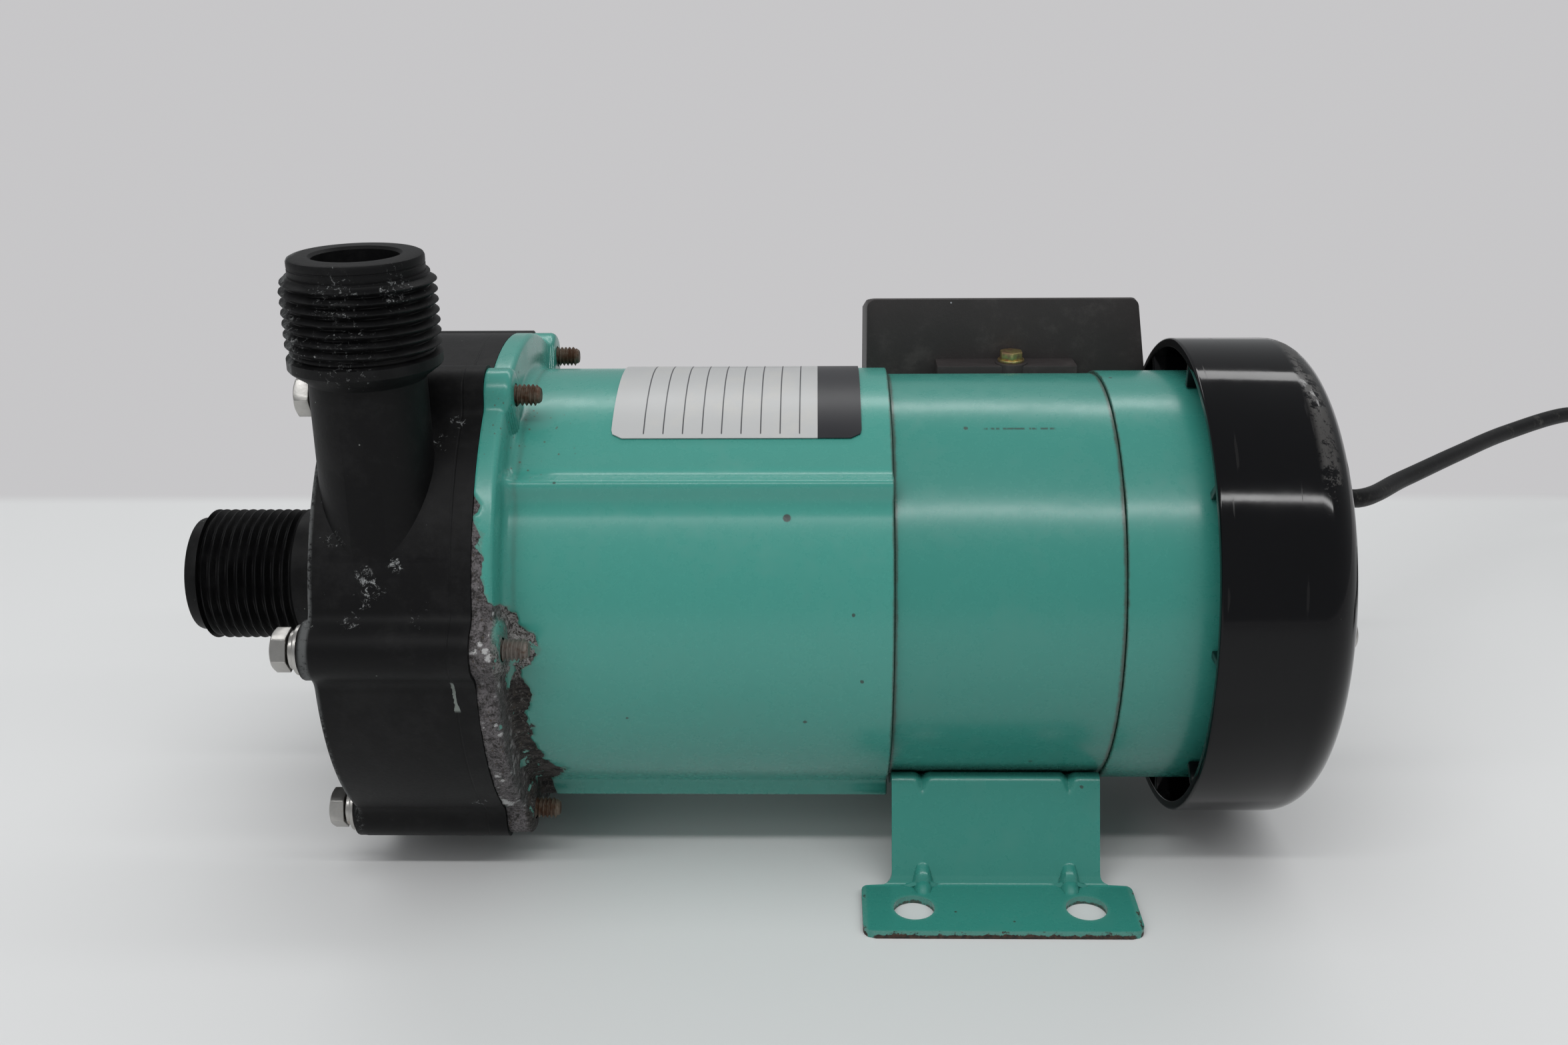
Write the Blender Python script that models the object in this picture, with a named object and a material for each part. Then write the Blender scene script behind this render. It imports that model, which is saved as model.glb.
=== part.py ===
"""Magnetic drive pump with a threaded inlet and discharge, an induction motor and a pressed steel foot.

Lengths are in metres. X runs along the shaft, with the inlet at -X and the fan at +X, and +Z is up.
Pieces round the shaft are modelled with the shaft line at z = 0 and hang on an empty at the shaft's
height. The origin lies on the floor, under the middle of the pump's own box.
"""

import math

import bmesh
import bpy
from mathutils import Matrix, Vector

# Clearances
SEAT_GAP = 0.0003
RUNNING_GAP = 0.0004

# Shaft line and motor
SHAFT_RADIUS = 0.004
STATOR_LENGTH = 0.041
HOUSING_RADIUS = 0.04056
FOOT_RISE = 0.01194
SHAFT_HEIGHT = HOUSING_RADIUS + FOOT_RISE
HOUSING_WALL = 0.0016
ROTOR_RADIUS = 0.0200
ROTOR_LENGTH = 0.038
AIR_GAP = 0.0006
WINDING_CLEARANCE = 0.00506
WINDING_DEPTH = 0.0110
WINDING_OUTER_RADIUS = HOUSING_RADIUS - WINDING_CLEARANCE
WINDING_INNER_RADIUS = WINDING_OUTER_RADIUS - WINDING_DEPTH
WINDING_LENGTH = 0.0100

# Ball bearings, both alike
BEARING_OUTER_RADIUS = 0.011
BEARING_WIDTH = 0.007
BEARING_INNER_WALL = 0.0019
BEARING_OUTER_WALL = 0.0016
BEARING_SEAT_WALL = 0.0038
BEARING_STOP_WALL = 0.0034
BEARING_STOP_RADIUS = 0.0062

# Bracket between pump and motor
BRACKET_STEP = 0.00124
BRACKET_RADIUS = HOUSING_RADIUS + BRACKET_STEP
BRACKET_LENGTH = 0.0739
BRACKET_WALL = 0.0043
BRACKET_BACK_WALL = 0.0032
BRACKET_DIVIDER_DEPTH = 0.0204
FLANGE_THICKNESS = 0.0036
FLANGE_FILLET = 0.0014
BRACKET_BOSS_RADIUS = 0.0050
BRACKET_BOSS_LENGTH = 0.0047
RIB_HEIGHT = 0.0032
RIB_CORNER_RADIUS = BRACKET_RADIUS + RIB_HEIGHT
RIB_CORNER_ANGLES = (43.2, 136.8, -60.0, -120.0)

# Rear end bracket
END_STEP = 0.00054
END_RADIUS = HOUSING_RADIUS + END_STEP
END_LENGTH = 0.0262
END_WALL = 0.0026
END_ROUNDING = 0.0050

# Front casing
FLANGE_HEIGHT = 0.0072
CASING_RADIUS = BRACKET_RADIUS + FLANGE_HEIGHT
CASING_LENGTH = 0.0288
CASING_FRONT_WALL = 0.0040
CHAMBER_WALL = 0.0080
CHAMBER_RADIUS = CASING_RADIUS - CHAMBER_WALL
CASING_EDGE = 0.0008
RECESS_WALL = 0.0034
RECESS_RADIUS = CASING_RADIUS - RECESS_WALL
CASING_BOSS_RADIUS = 0.0055
CASING_BOSS_STEP = 0.0012

# Threaded ports
THREAD_RADIUS = 0.01322
THREAD_DEPTH = 0.00116
THREAD_PITCH = 0.001814
PORT_COLLAR_RADIUS = 0.01150
PORT_COLLAR_LENGTH = 0.0030
INLET_LENGTH = 0.0371
INLET_NECK_RADIUS = 0.0130
INLET_BORE_RADIUS = 0.0085
INLET_TURNS = 10
DISCHARGE_INSET = 0.0145
DISCHARGE_OFFSET = CASING_RADIUS - DISCHARGE_INSET
DISCHARGE_STATION = 0.0111
DISCHARGE_TOP = 0.0722
DISCHARGE_BORE_RADIUS = 0.0074
DISCHARGE_NECK_RADIUS = 0.0102
DISCHARGE_TURNS = 7
DISCHARGE_RING_LENGTH = 0.0020
DISCHARGE_CONE_LENGTH = 0.0023
DISCHARGE_FOOT = 0.0100
DISCHARGE_BORE_FOOT = 0.0050

# Casing bolts
BOLT_COUNT = 6
BOLT_INSET = 0.0014
BOLT_CIRCLE_RADIUS = CASING_RADIUS - BOLT_INSET
BOLT_FIRST_ANGLE = 5.5
BOLT_RADIUS = 0.0020
BOLT_HEAD_FLATS = 0.0070
BOLT_HEAD_HEIGHT = 0.0029
BOLT_TAIL = 0.0047
WASHER_RADIUS = 0.0045
WASHER_THICKNESS = 0.0008
SPRING_WASHER_RADIUS = 0.0035
SPRING_WASHER_THICKNESS = 0.0010

# Rear casing, the can that seals the pump
REAR_FLANGE_THICKNESS = 0.0033
CAN_RADIUS = 0.0212
CAN_WALL = 0.0016
CAN_LENGTH = 0.0405
CAN_END_WALL = 0.0020
SPINDLE_SOCKET_DEPTH = 0.0032
SPINDLE_SOCKET_WALL = 0.0027
SEAL_GROOVE_DEPTH = 0.0016
SEAL_SECTION_RADIUS = 0.00065
SEAL_SWEEP = 300
SEAL_STEPS = 5

# Impeller and its magnet
SPINDLE_RADIUS = 0.0030
IMPELLER_RADIUS = 0.0330
IMPELLER_EYE_RADIUS = 0.0096
IMPELLER_FRONT_GAP = 0.0026
IMPELLER_SHROUD = 0.0016
IMPELLER_WIDTH = 0.0140
IMPELLER_BACK = 0.0020
VANE_COUNT = 6
VANE_THICKNESS = 0.0016
VANE_ROOT_RADIUS = 0.0118
VANE_SWEEP = 62.0
VANE_STEPS = 5
VANE_SLANT = 1.4
BUSH_WALL = 0.0027
CAPSULE_NOSE_LENGTH = 0.0102
CAPSULE_NOSE_WALL = 0.0026
CAPSULE_RUNNING_GAP = 0.0008
CAPSULE_WALL = 0.0013
CAPSULE_FRONT_WALL = 0.0045
THRUST_RING_THICKNESS = 0.0028
SUPPORT_LENGTH = 0.0050
SUPPORT_WALL = 0.0017
SUPPORT_LEG_THICKNESS = 0.0020
MOUTH_RING_WALL = 0.0018
MOUTH_RING_LENGTH = 0.0018

# Drive magnet on the motor shaft
YOKE_RADIUS = 0.0295
YOKE_WALL = 0.0030
YOKE_LENGTH = 0.0440
YOKE_BASE = 0.0040
YOKE_HUB_RADIUS = 0.0100
YOKE_HUB_LENGTH = 0.0040
DRIVE_MAGNET_THICKNESS = 0.0038
DRIVE_MAGNET_LENGTH = 0.0320
SET_SCREW_RADIUS = 0.0014

# Fan and its cover
FAN_HUB_RADIUS = 0.0075
FAN_PLATE = 0.0014
FAN_DEPTH = 0.0062
FAN_BLADES = 8
FAN_BLADE_THICKNESS = 0.0014
COVER_STEP = 0.00704
COVER_RADIUS = HOUSING_RADIUS + COVER_STEP
COVER_WALL = 0.0018
COVER_START = 0.0148
COVER_LENGTH = 0.0256
COVER_ROUNDING = 0.0075
COVER_RIB_COUNT = 6
COVER_RIB_THICKNESS = 0.0016
COVER_SLOT_COUNT = 10
COVER_SLOT_WIDTH = 0.0030
COVER_SLOT_INNER = 0.0130
COVER_SCREW_COUNT = 3
COVER_SCREW_INSET = 0.0049
COVER_SCREW_CIRCLE = END_RADIUS - COVER_SCREW_INSET
COVER_SCREW_RADIUS = 0.0015
COVER_SCREW_HEAD_RADIUS = 0.0028
COVER_SCREW_HEAD_HEIGHT = 0.0012
COVER_SCREW_DEPTH = 0.0075
COVER_POST_RADIUS = 0.0034
FAN_CLEARANCE = 0.0028
FAN_RADIUS = COVER_SCREW_CIRCLE - COVER_POST_RADIUS - FAN_CLEARANCE
COVER_SLOT_INSET = 0.0030
COVER_SLOT_OUTER = FAN_RADIUS - COVER_SLOT_INSET
COVER_SCREW_FIRST_ANGLE = 4.0

# Pressed steel foot
FOOT_SHEET = 0.0016
FOOT_LENGTH = 0.0522
FOOT_WEB_LENGTH = 0.0403
FOOT_WEB_INSET = 0.01296
FOOT_WEB_SPREAD = 0.0083
FOOT_FLANGE_WIDTH = 0.0152
FOOT_WEB_TOP = HOUSING_RADIUS - FOOT_WEB_INSET
FOOT_FLANGE_INNER = FOOT_WEB_TOP + FOOT_WEB_SPREAD
FOOT_HALF_WIDTH = FOOT_FLANGE_INNER + FOOT_FLANGE_WIDTH
FOOT_CORNER = 0.0020
FOOT_HOLE_RADIUS = 0.0039
FOOT_HOLE_SPACING_X = 0.0326
FOOT_HOLE_INSET = 0.00765
FOOT_HOLE_SPACING_Y = 2 * (FOOT_HALF_WIDTH - FOOT_HOLE_INSET)

# Terminal box on the far side
BOX_FRONT = -0.0240
BOX_LENGTH = 0.0570
BOX_SLOPE = 0.0022
BOX_INSET = 0.01156
BOX_NEAR = HOUSING_RADIUS - BOX_INSET
BOX_DEPTH = 0.0330
BOX_RISE = 0.00994
BOX_TOP = HOUSING_RADIUS + BOX_RISE
BOX_HEIGHT = 0.0590
BOX_WALL = 0.0022
BOX_EDGE = 0.0010
BOX_FALL_ANGLE = math.radians(15)
BOX_CORNER = 0.0020
BOX_LUG_START = 0.0146
BOX_LUG_LENGTH = 0.0294
BOX_LUG_DROP = 0.00296
BOX_LUG_TOP = HOUSING_RADIUS - BOX_LUG_DROP
BOX_LUG_HEIGHT = 0.0120
BOX_LUG_DEPTH = 0.0064
BOX_SCREW_RADIUS = 0.0015
BOX_SCREW_HEAD_RADIUS = 0.0028
BOX_SCREW_HEAD_HEIGHT = 0.0022
BOX_SCREW_BOSS_RADIUS = 0.0034
CAPACITOR_RADIUS = 0.0110
CAPACITOR_LENGTH = 0.0440
TERMINAL_SIZE = (0.0220, 0.0090, 0.0090)
TERMINAL_DROP = 0.0020

# Rating plate, left blank
PLATE_THICKNESS = 0.0003
PLATE_LENGTH = 0.0462
PLATE_SETBACK = 0.0056
PLATE_START_ANGLE = 58.0
PLATE_END_ANGLE = 126.0

# Mains lead: its strain relief, free length, coil and plug
LEAD_RADIUS = 0.00225
LEAD_RISE = 0.0091
LEAD_HEIGHT = BOX_TOP - BOX_HEIGHT + LEAD_RISE
LEAD_SIDE = 0.0250
RELIEF_COLLAR_RADIUS = 0.0050
RELIEF_COLLAR_LENGTH = 0.0030
RELIEF_LENGTH = 0.0230
RELIEF_TIP_RADIUS = 0.0029
COIL_INNER_RADIUS = 0.0158
COIL_OUTER_RADIUS = 0.0342
COIL_HEIGHT = 0.0094
COIL_CENTRE = (0.2208, 0.1120)
LEAD_RUN_OUT = ((0.0308, 0.0003, -0.0004), (0.0428, 0.0020, -0.0018), (0.0602, 0.0065, -0.0058))
LEAD_ROUTE = (
    (0.1149, 0.0845, 0.0441),
    (0.1389, 0.1120, 0.0418),
    (0.1645, 0.1400, 0.0395),
    (0.1944, 0.1660, 0.0374),
    (0.2130, 0.1770, 0.0320),
    (0.2300, 0.1800, 0.0232),
    (0.2430, 0.1750, 0.0138),
    (0.2505, 0.1640, 0.0068),
    (0.2532, 0.1510, 0.0033),
    (0.2531, 0.1400, 0.0025),
    (0.2526, 0.1306, 0.0024),
)
TAIL_ROUTE = (
    (0.2526, 0.0934, 0.0058),
    (0.2524, 0.0850, 0.0048),
    (0.2507, 0.0760, 0.0056),
    (0.2475, 0.0670, 0.0063),
)
PLUG_LENGTH = 0.0340
PLUG_WIDTH = 0.0260
PLUG_THICKNESS = 0.0124
PLUG_PIN_RADIUS = 0.0020
PLUG_PIN_LENGTH = 0.0190
PLUG_PIN_SPACING = 0.0180
PLUG_EDGE = 0.0030

# Facets of the round pieces
LARGE_ROUND = 44
MIDDLE_ROUND = 24
SMALL_ROUND = 12
SADDLE_STEPS = 8
CORNER_SHARE = 0.3

# Places along the shaft, worked out from the sizes above
HOUSING_FRONT = -STATOR_LENGTH / 2
HOUSING_REAR = STATOR_LENGTH / 2
BRACKET_REAR = HOUSING_FRONT - SEAT_GAP
BRACKET_FRONT = BRACKET_REAR - BRACKET_LENGTH
CASING_REAR = BRACKET_FRONT - SEAT_GAP
CASING_FRONT = CASING_REAR - CASING_LENGTH
INLET_END = CASING_FRONT - INLET_LENGTH
BOSS_FRONT = CASING_FRONT - CASING_BOSS_STEP
CHAMBER_FRONT = CASING_FRONT + CASING_FRONT_WALL
REAR_FLANGE_FRONT = CASING_REAR - REAR_FLANGE_THICKNESS
CHAMBER_REAR = REAR_FLANGE_FRONT - SEAT_GAP
DISCHARGE_X = CASING_FRONT + DISCHARGE_STATION
DIVIDER_REAR = BRACKET_REAR - BRACKET_DIVIDER_DEPTH + BRACKET_BACK_WALL
DIVIDER_FRONT = DIVIDER_REAR - BRACKET_BACK_WALL
BRACKET_BORE = BRACKET_RADIUS - BRACKET_WALL
END_FRONT = HOUSING_REAR + SEAT_GAP
END_REAR = END_FRONT + END_LENGTH
COVER_FRONT = END_FRONT + COVER_START
COVER_REAR = COVER_FRONT + COVER_LENGTH
COVER_INNER_FACE = COVER_REAR - COVER_WALL
CAN_REAR = CASING_REAR + CAN_LENGTH + REAR_FLANGE_THICKNESS
CAN_INNER_END = CAN_REAR - CAN_END_WALL
CAN_BORE = CAN_RADIUS - CAN_WALL
SPINDLE_REAR = CAN_INNER_END
SOCKET_FRONT = CAN_INNER_END - SPINDLE_SOCKET_DEPTH
SPINDLE_BORE = SPINDLE_RADIUS + SEAT_GAP
SUPPORT_REAR = CHAMBER_FRONT + IMPELLER_FRONT_GAP
SUPPORT_FRONT = SUPPORT_REAR - SUPPORT_LENGTH
THRUST_FRONT = SUPPORT_REAR + RUNNING_GAP
THRUST_REAR = THRUST_FRONT + THRUST_RING_THICKNESS
IMPELLER_FRONT = CHAMBER_FRONT + IMPELLER_FRONT_GAP
IMPELLER_REAR = IMPELLER_FRONT + IMPELLER_WIDTH
CAPSULE_FRONT = IMPELLER_REAR + SEAT_GAP
BUSH_FRONT = THRUST_REAR + RUNNING_GAP
BUSH_BORE = SPINDLE_RADIUS + RUNNING_GAP
BUSH_RADIUS = BUSH_BORE + BUSH_WALL
CAPSULE_BORE = BUSH_RADIUS + SEAT_GAP
CAPSULE_RADIUS = CAN_BORE - CAPSULE_RUNNING_GAP
CAPSULE_REAR = SOCKET_FRONT - THRUST_RING_THICKNESS - 2 * RUNNING_GAP
NOSE_RADIUS = CAPSULE_BORE + CAPSULE_NOSE_WALL
NOSE_FRONT = CAPSULE_FRONT - CAPSULE_NOSE_LENGTH
YOKE_REAR = DIVIDER_FRONT - RUNNING_GAP
YOKE_BASE_REAR = YOKE_REAR - YOKE_HUB_LENGTH
YOKE_BASE_FRONT = YOKE_BASE_REAR - YOKE_BASE
YOKE_FRONT = YOKE_BASE_REAR - YOKE_LENGTH
YOKE_BORE = YOKE_RADIUS - YOKE_WALL
SHAFT_BORE = SHAFT_RADIUS + SEAT_GAP
SEAT_RADIUS = BEARING_OUTER_RADIUS + SEAT_GAP
FRONT_BEARING_FRONT = DIVIDER_REAR + SEAT_GAP
REAR_BEARING_REAR = END_REAR - BEARING_STOP_WALL - SEAT_GAP
REAR_BEARING_FRONT = REAR_BEARING_REAR - BEARING_WIDTH
FAN_FRONT = END_REAR + SEAT_GAP + RUNNING_GAP
SHAFT_REAR = FAN_FRONT + FAN_DEPTH + SEAT_GAP
BOX_REAR = BOX_FRONT + BOX_LENGTH + BOX_SLOPE
BOX_FAR = BOX_NEAR + BOX_DEPTH
BOX_BOTTOM = BOX_TOP - BOX_HEIGHT
LEAD_Y = BOX_NEAR + LEAD_SIDE
COLLAR_FOOT = LEAD_HEIGHT - RELIEF_COLLAR_RADIUS - BOX_BOTTOM
RELIEF_START = BOX_REAR - BOX_SLOPE * COLLAR_FOOT / BOX_HEIGHT + SEAT_GAP
RELIEF_END = RELIEF_START + RELIEF_LENGTH
LEAD_START = (RELIEF_END + SEAT_GAP, LEAD_Y, SHAFT_HEIGHT + LEAD_HEIGHT)

FINISHES = {
    "green_paint": ((0.080, 0.328, 0.258), 0.38, 0.0),
    "black_casing": ((0.018, 0.019, 0.021), 0.62, 0.0),
    "black_gloss": ((0.008, 0.008, 0.010), 0.16, 0.0),
    "black_box": ((0.020, 0.020, 0.021), 0.55, 0.0),
    "steel": ((0.62, 0.61, 0.58), 0.34, 0.9),
    "yellow_zinc": ((0.62, 0.50, 0.22), 0.35, 0.8),
    "lamination": ((0.21, 0.22, 0.23), 0.48, 0.8),
    "copper": ((0.60, 0.26, 0.12), 0.40, 0.6),
    "ceramic": ((0.78, 0.77, 0.72), 0.30, 0.0),
    "carbon": ((0.05, 0.05, 0.055), 0.50, 0.0),
    "magnet": ((0.10, 0.10, 0.11), 0.45, 0.3),
    "seal_rubber": ((0.02, 0.02, 0.02), 0.70, 0.0),
    "cable": ((0.015, 0.015, 0.016), 0.45, 0.0),
    "plate_white": ((0.72, 0.73, 0.72), 0.42, 0.0),
    "aluminium": ((0.60, 0.61, 0.62), 0.40, 0.8),
}


def clear_scene():
    for obj in list(bpy.data.objects):
        bpy.data.objects.remove(obj, do_unlink=True)


def material(name):
    found = bpy.data.materials.get(name)
    if found:
        return found
    colour, roughness, metallic = FINISHES[name]
    made = bpy.data.materials.new(name)
    made.use_nodes = True
    shader = made.node_tree.nodes["Principled BSDF"]
    shader.inputs["Base Color"].default_value = (*colour, 1.0)
    shader.inputs["Roughness"].default_value = roughness
    shader.inputs["Metallic"].default_value = metallic
    made.diffuse_color = (*colour, 1.0)
    return made


def empty(name, location, parent=None):
    made = bpy.data.objects.new(name, None)
    made.location = location
    made.parent = parent
    bpy.context.scene.collection.objects.link(made)
    return made


def solid(name, bm, parent, finish=None, smooth=True):
    """Turns a closed bmesh into an object. A piece without a finish is a tool for a Boolean."""
    bmesh.ops.recalc_face_normals(bm, faces=bm.faces)
    mesh = bpy.data.meshes.new(name)
    bm.to_mesh(mesh)
    bm.free()
    made = bpy.data.objects.new(name, mesh)
    made.parent = parent
    bpy.context.scene.collection.objects.link(made)
    if finish is None:
        made.hide_render = True
        made.display_type = "WIRE"
        return made
    mesh.materials.append(material(finish))
    if smooth:
        mesh.shade_smooth()
        mesh.set_sharp_from_angle(angle=math.radians(35))
    return made


def turned(name, profile, segments, parent, finish=None, ring=True, place=Matrix()):
    """Spins (along, radius) points about X. A ring's profile closes; another starts and ends on the axis."""
    bm = bmesh.new()
    points = [bm.verts.new((along, 0.0, radius)) for along, radius in profile]
    edges = [bm.edges.new(pair) for pair in zip(points, points[1:])]
    if ring:
        edges.append(bm.edges.new((points[-1], points[0])))
    bmesh.ops.spin(
        bm,
        geom=points + edges,
        cent=(0, 0, 0),
        axis=(1, 0, 0),
        angle=math.tau,
        steps=segments,
        use_merge=True,
    )
    bmesh.ops.remove_doubles(bm, verts=bm.verts, dist=0.000001)
    bmesh.ops.transform(bm, matrix=place, verts=bm.verts)
    return solid(name, bm, parent, finish)


def tube(name, start, end, inner, outer, segments, parent, finish=None):
    """A plain ring on the shaft line."""
    profile = [(start, outer), (end, outer), (end, inner), (start, inner)]
    return turned(name, profile, segments, parent, finish)


def rod(name, start, end, radius, segments, parent, finish=None, tip_radius=None):
    """A round bar from start to end, or a cone when it has a tip radius."""
    start = Vector(start)
    along = Vector(end) - start
    place = Matrix.Translation(start + along / 2) @ along.to_track_quat("Z", "Y").to_matrix().to_4x4()
    bm = bmesh.new()
    bmesh.ops.create_cone(
        bm,
        cap_ends=True,
        segments=segments,
        radius1=radius,
        radius2=radius if tip_radius is None else tip_radius,
        depth=along.length,
        matrix=place,
    )
    return solid(name, bm, parent, finish)


def block(name, low, high, parent, finish=None):
    low = Vector(low)
    high = Vector(high)
    size = Matrix.Diagonal((*(high - low), 1.0))
    bm = bmesh.new()
    bmesh.ops.create_cube(bm, size=1.0, matrix=Matrix.Translation((low + high) / 2) @ size)
    return solid(name, bm, parent, finish, smooth=False)


def prism(name, outline, start, end, parent, finish=None):
    """Extrudes a (y, z) outline along X."""
    bm = bmesh.new()
    face = bm.faces.new([bm.verts.new((start, y, z)) for y, z in outline])
    grown = bmesh.ops.extrude_face_region(bm, geom=[face])["geom"]
    moved = [item for item in grown if isinstance(item, bmesh.types.BMVert)]
    bmesh.ops.translate(bm, verts=moved, vec=(end - start, 0, 0))
    return solid(name, bm, parent, finish)


def boolean(target, operation, tools):
    for tool in tools:
        step = target.modifiers.new(tool.name, "BOOLEAN")
        step.operation = operation
        step.solver = "EXACT"
        step.object = tool
    return target


def weld(target, *tools):
    return boolean(target, "UNION", tools)


def cut(target, *tools):
    return boolean(target, "DIFFERENCE", tools)


def around(radius, degrees):
    """(y, z) at an angle counted from the near side, -Y, upwards."""
    angle = math.radians(degrees)
    return -radius * math.cos(angle), radius * math.sin(angle)


def spaced(count, first):
    return [first + 360.0 * index / count for index in range(count)]


def bolt_places():
    return [around(BOLT_CIRCLE_RADIUS, angle) for angle in spaced(BOLT_COUNT, BOLT_FIRST_ANGLE)]


def arc(centre, radius, first, last, steps):
    """Points of an arc in a profile, angles in degrees."""
    turn = [math.radians(first + (last - first) * k / steps) for k in range(steps + 1)]
    return [(centre[0] + radius * math.cos(a), centre[1] + radius * math.sin(a)) for a in turn]


def ridges(start, turns, pitch, crest, root):
    """Thread drawn as plain ridges: crest and root points of a profile along +X."""
    points = []
    for turn in range(turns):
        points.append((start + turn * pitch, crest))
        points.append((start + (turn + 0.5) * pitch, root))
    return points[:-1]


def front_casing(parent):
    """Pump casing with the threaded inlet, the side discharge and the bosses for its bolts."""
    root = THREAD_RADIUS - THREAD_DEPTH
    first_crest = INLET_END + PORT_COLLAR_LENGTH + THREAD_PITCH / 2
    outer = [
        (CASING_FRONT, 0.0),
        (CASING_FRONT, CASING_RADIUS - CASING_EDGE),
        (CASING_FRONT + CASING_EDGE, CASING_RADIUS),
        (CASING_REAR, CASING_RADIUS),
        (CASING_REAR, 0.0),
    ]
    casing = turned("front_casing", outer, LARGE_ROUND, parent, "black_casing", ring=False)
    inlet = [
        (INLET_END, 0.0),
        (INLET_END, PORT_COLLAR_RADIUS),
        (INLET_END + PORT_COLLAR_LENGTH, PORT_COLLAR_RADIUS),
    ]
    inlet += ridges(first_crest, INLET_TURNS, THREAD_PITCH, THREAD_RADIUS, root)
    inlet += [
        (first_crest + (INLET_TURNS - 0.5) * THREAD_PITCH, INLET_NECK_RADIUS),
        (CASING_FRONT + CASING_FRONT_WALL / 2, INLET_NECK_RADIUS),
        (CASING_FRONT + CASING_FRONT_WALL / 2, 0.0),
    ]
    weld(casing, turned("add_inlet", inlet, MIDDLE_ROUND, parent, ring=False))
    for number, (y, z) in enumerate(bolt_places()):
        start = (BOSS_FRONT, y, z)
        end = (CASING_REAR, y, z)
        weld(casing, rod(f"add_boss_{number}", start, end, CASING_BOSS_RADIUS, SMALL_ROUND, parent))
    for number, (y, z) in enumerate(bolt_places()):
        start = (BOSS_FRONT - CASING_EDGE, y, z)
        end = (CASING_REAR + CASING_EDGE, y, z)
        hole = rod(f"cut_boss_{number}", start, end, BOLT_RADIUS + SEAT_GAP, SMALL_ROUND, parent)
        cut(casing, hole)
    weld(casing, discharge_pipe(parent))
    chamber = [
        (INLET_END - CASING_EDGE, 0.0),
        (INLET_END - CASING_EDGE, INLET_BORE_RADIUS),
        (CHAMBER_FRONT, INLET_BORE_RADIUS),
        (CHAMBER_FRONT, CHAMBER_RADIUS),
        (CHAMBER_REAR, CHAMBER_RADIUS),
        (CHAMBER_REAR, RECESS_RADIUS),
        (CASING_REAR + CASING_EDGE, RECESS_RADIUS),
        (CASING_REAR + CASING_EDGE, 0.0),
    ]
    cut(casing, turned("cut_chamber", chamber, LARGE_ROUND, parent, ring=False))
    weld(casing, spindle_support(parent))
    bore_foot = (DISCHARGE_X, -DISCHARGE_OFFSET, DISCHARGE_BORE_FOOT)
    bore_top = (DISCHARGE_X, -DISCHARGE_OFFSET, DISCHARGE_TOP + CASING_EDGE)
    cut(casing, rod("cut_discharge", bore_foot, bore_top, DISCHARGE_BORE_RADIUS, MIDDLE_ROUND, parent))
    return casing


def discharge_pipe(parent):
    """The tangential outlet, with its thread, the ring under it and the plain neck."""
    root = THREAD_RADIUS - THREAD_DEPTH
    thread_top = DISCHARGE_TOP - PORT_COLLAR_LENGTH
    last_crest = thread_top - THREAD_PITCH / 2 - (DISCHARGE_TURNS - 1) * THREAD_PITCH
    ring_top = last_crest - THREAD_PITCH
    ring_foot = ring_top - DISCHARGE_RING_LENGTH
    profile = [
        (DISCHARGE_FOOT, 0.0),
        (DISCHARGE_FOOT, DISCHARGE_NECK_RADIUS),
        (ring_foot - DISCHARGE_CONE_LENGTH, DISCHARGE_NECK_RADIUS),
        (ring_foot, THREAD_RADIUS),
        (ring_top, THREAD_RADIUS),
        (ring_top + THREAD_PITCH / 2, root),
    ]
    profile += ridges(last_crest, DISCHARGE_TURNS, THREAD_PITCH, THREAD_RADIUS, root)
    profile += [
        (thread_top, PORT_COLLAR_RADIUS),
        (DISCHARGE_TOP, PORT_COLLAR_RADIUS),
        (DISCHARGE_TOP, 0.0),
    ]
    upright = Matrix.Translation((DISCHARGE_X, -DISCHARGE_OFFSET, 0)) @ Matrix.Rotation(-math.pi / 2, 4, "Y")
    return turned("add_discharge", profile, MIDDLE_ROUND, parent, ring=False, place=upright)


def spindle_support(parent):
    """Hub on three legs in the inlet, which holds the spindle's front end."""
    wall = SPINDLE_BORE + SUPPORT_WALL
    hub = tube("add_support", SUPPORT_FRONT, SUPPORT_REAR, SPINDLE_BORE, wall, SMALL_ROUND, parent)
    leg_root = SPINDLE_BORE + SUPPORT_WALL / 2
    leg_end = INLET_BORE_RADIUS + CASING_EDGE
    half = SUPPORT_LEG_THICKNESS / 2
    leg_rear = CHAMBER_FRONT - CASING_EDGE
    for number, angle in enumerate(spaced(3, 90.0)):
        turn = math.radians(angle)
        corners = [(leg_root, -half), (leg_end, -half), (leg_end, half), (leg_root, half)]
        outline = [
            (a * math.cos(turn) - b * math.sin(turn), a * math.sin(turn) + b * math.cos(turn))
            for a, b in corners
        ]
        weld(hub, prism(f"add_leg_{number}", outline, SUPPORT_FRONT + CASING_EDGE, leg_rear, parent))
    return hub


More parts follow.
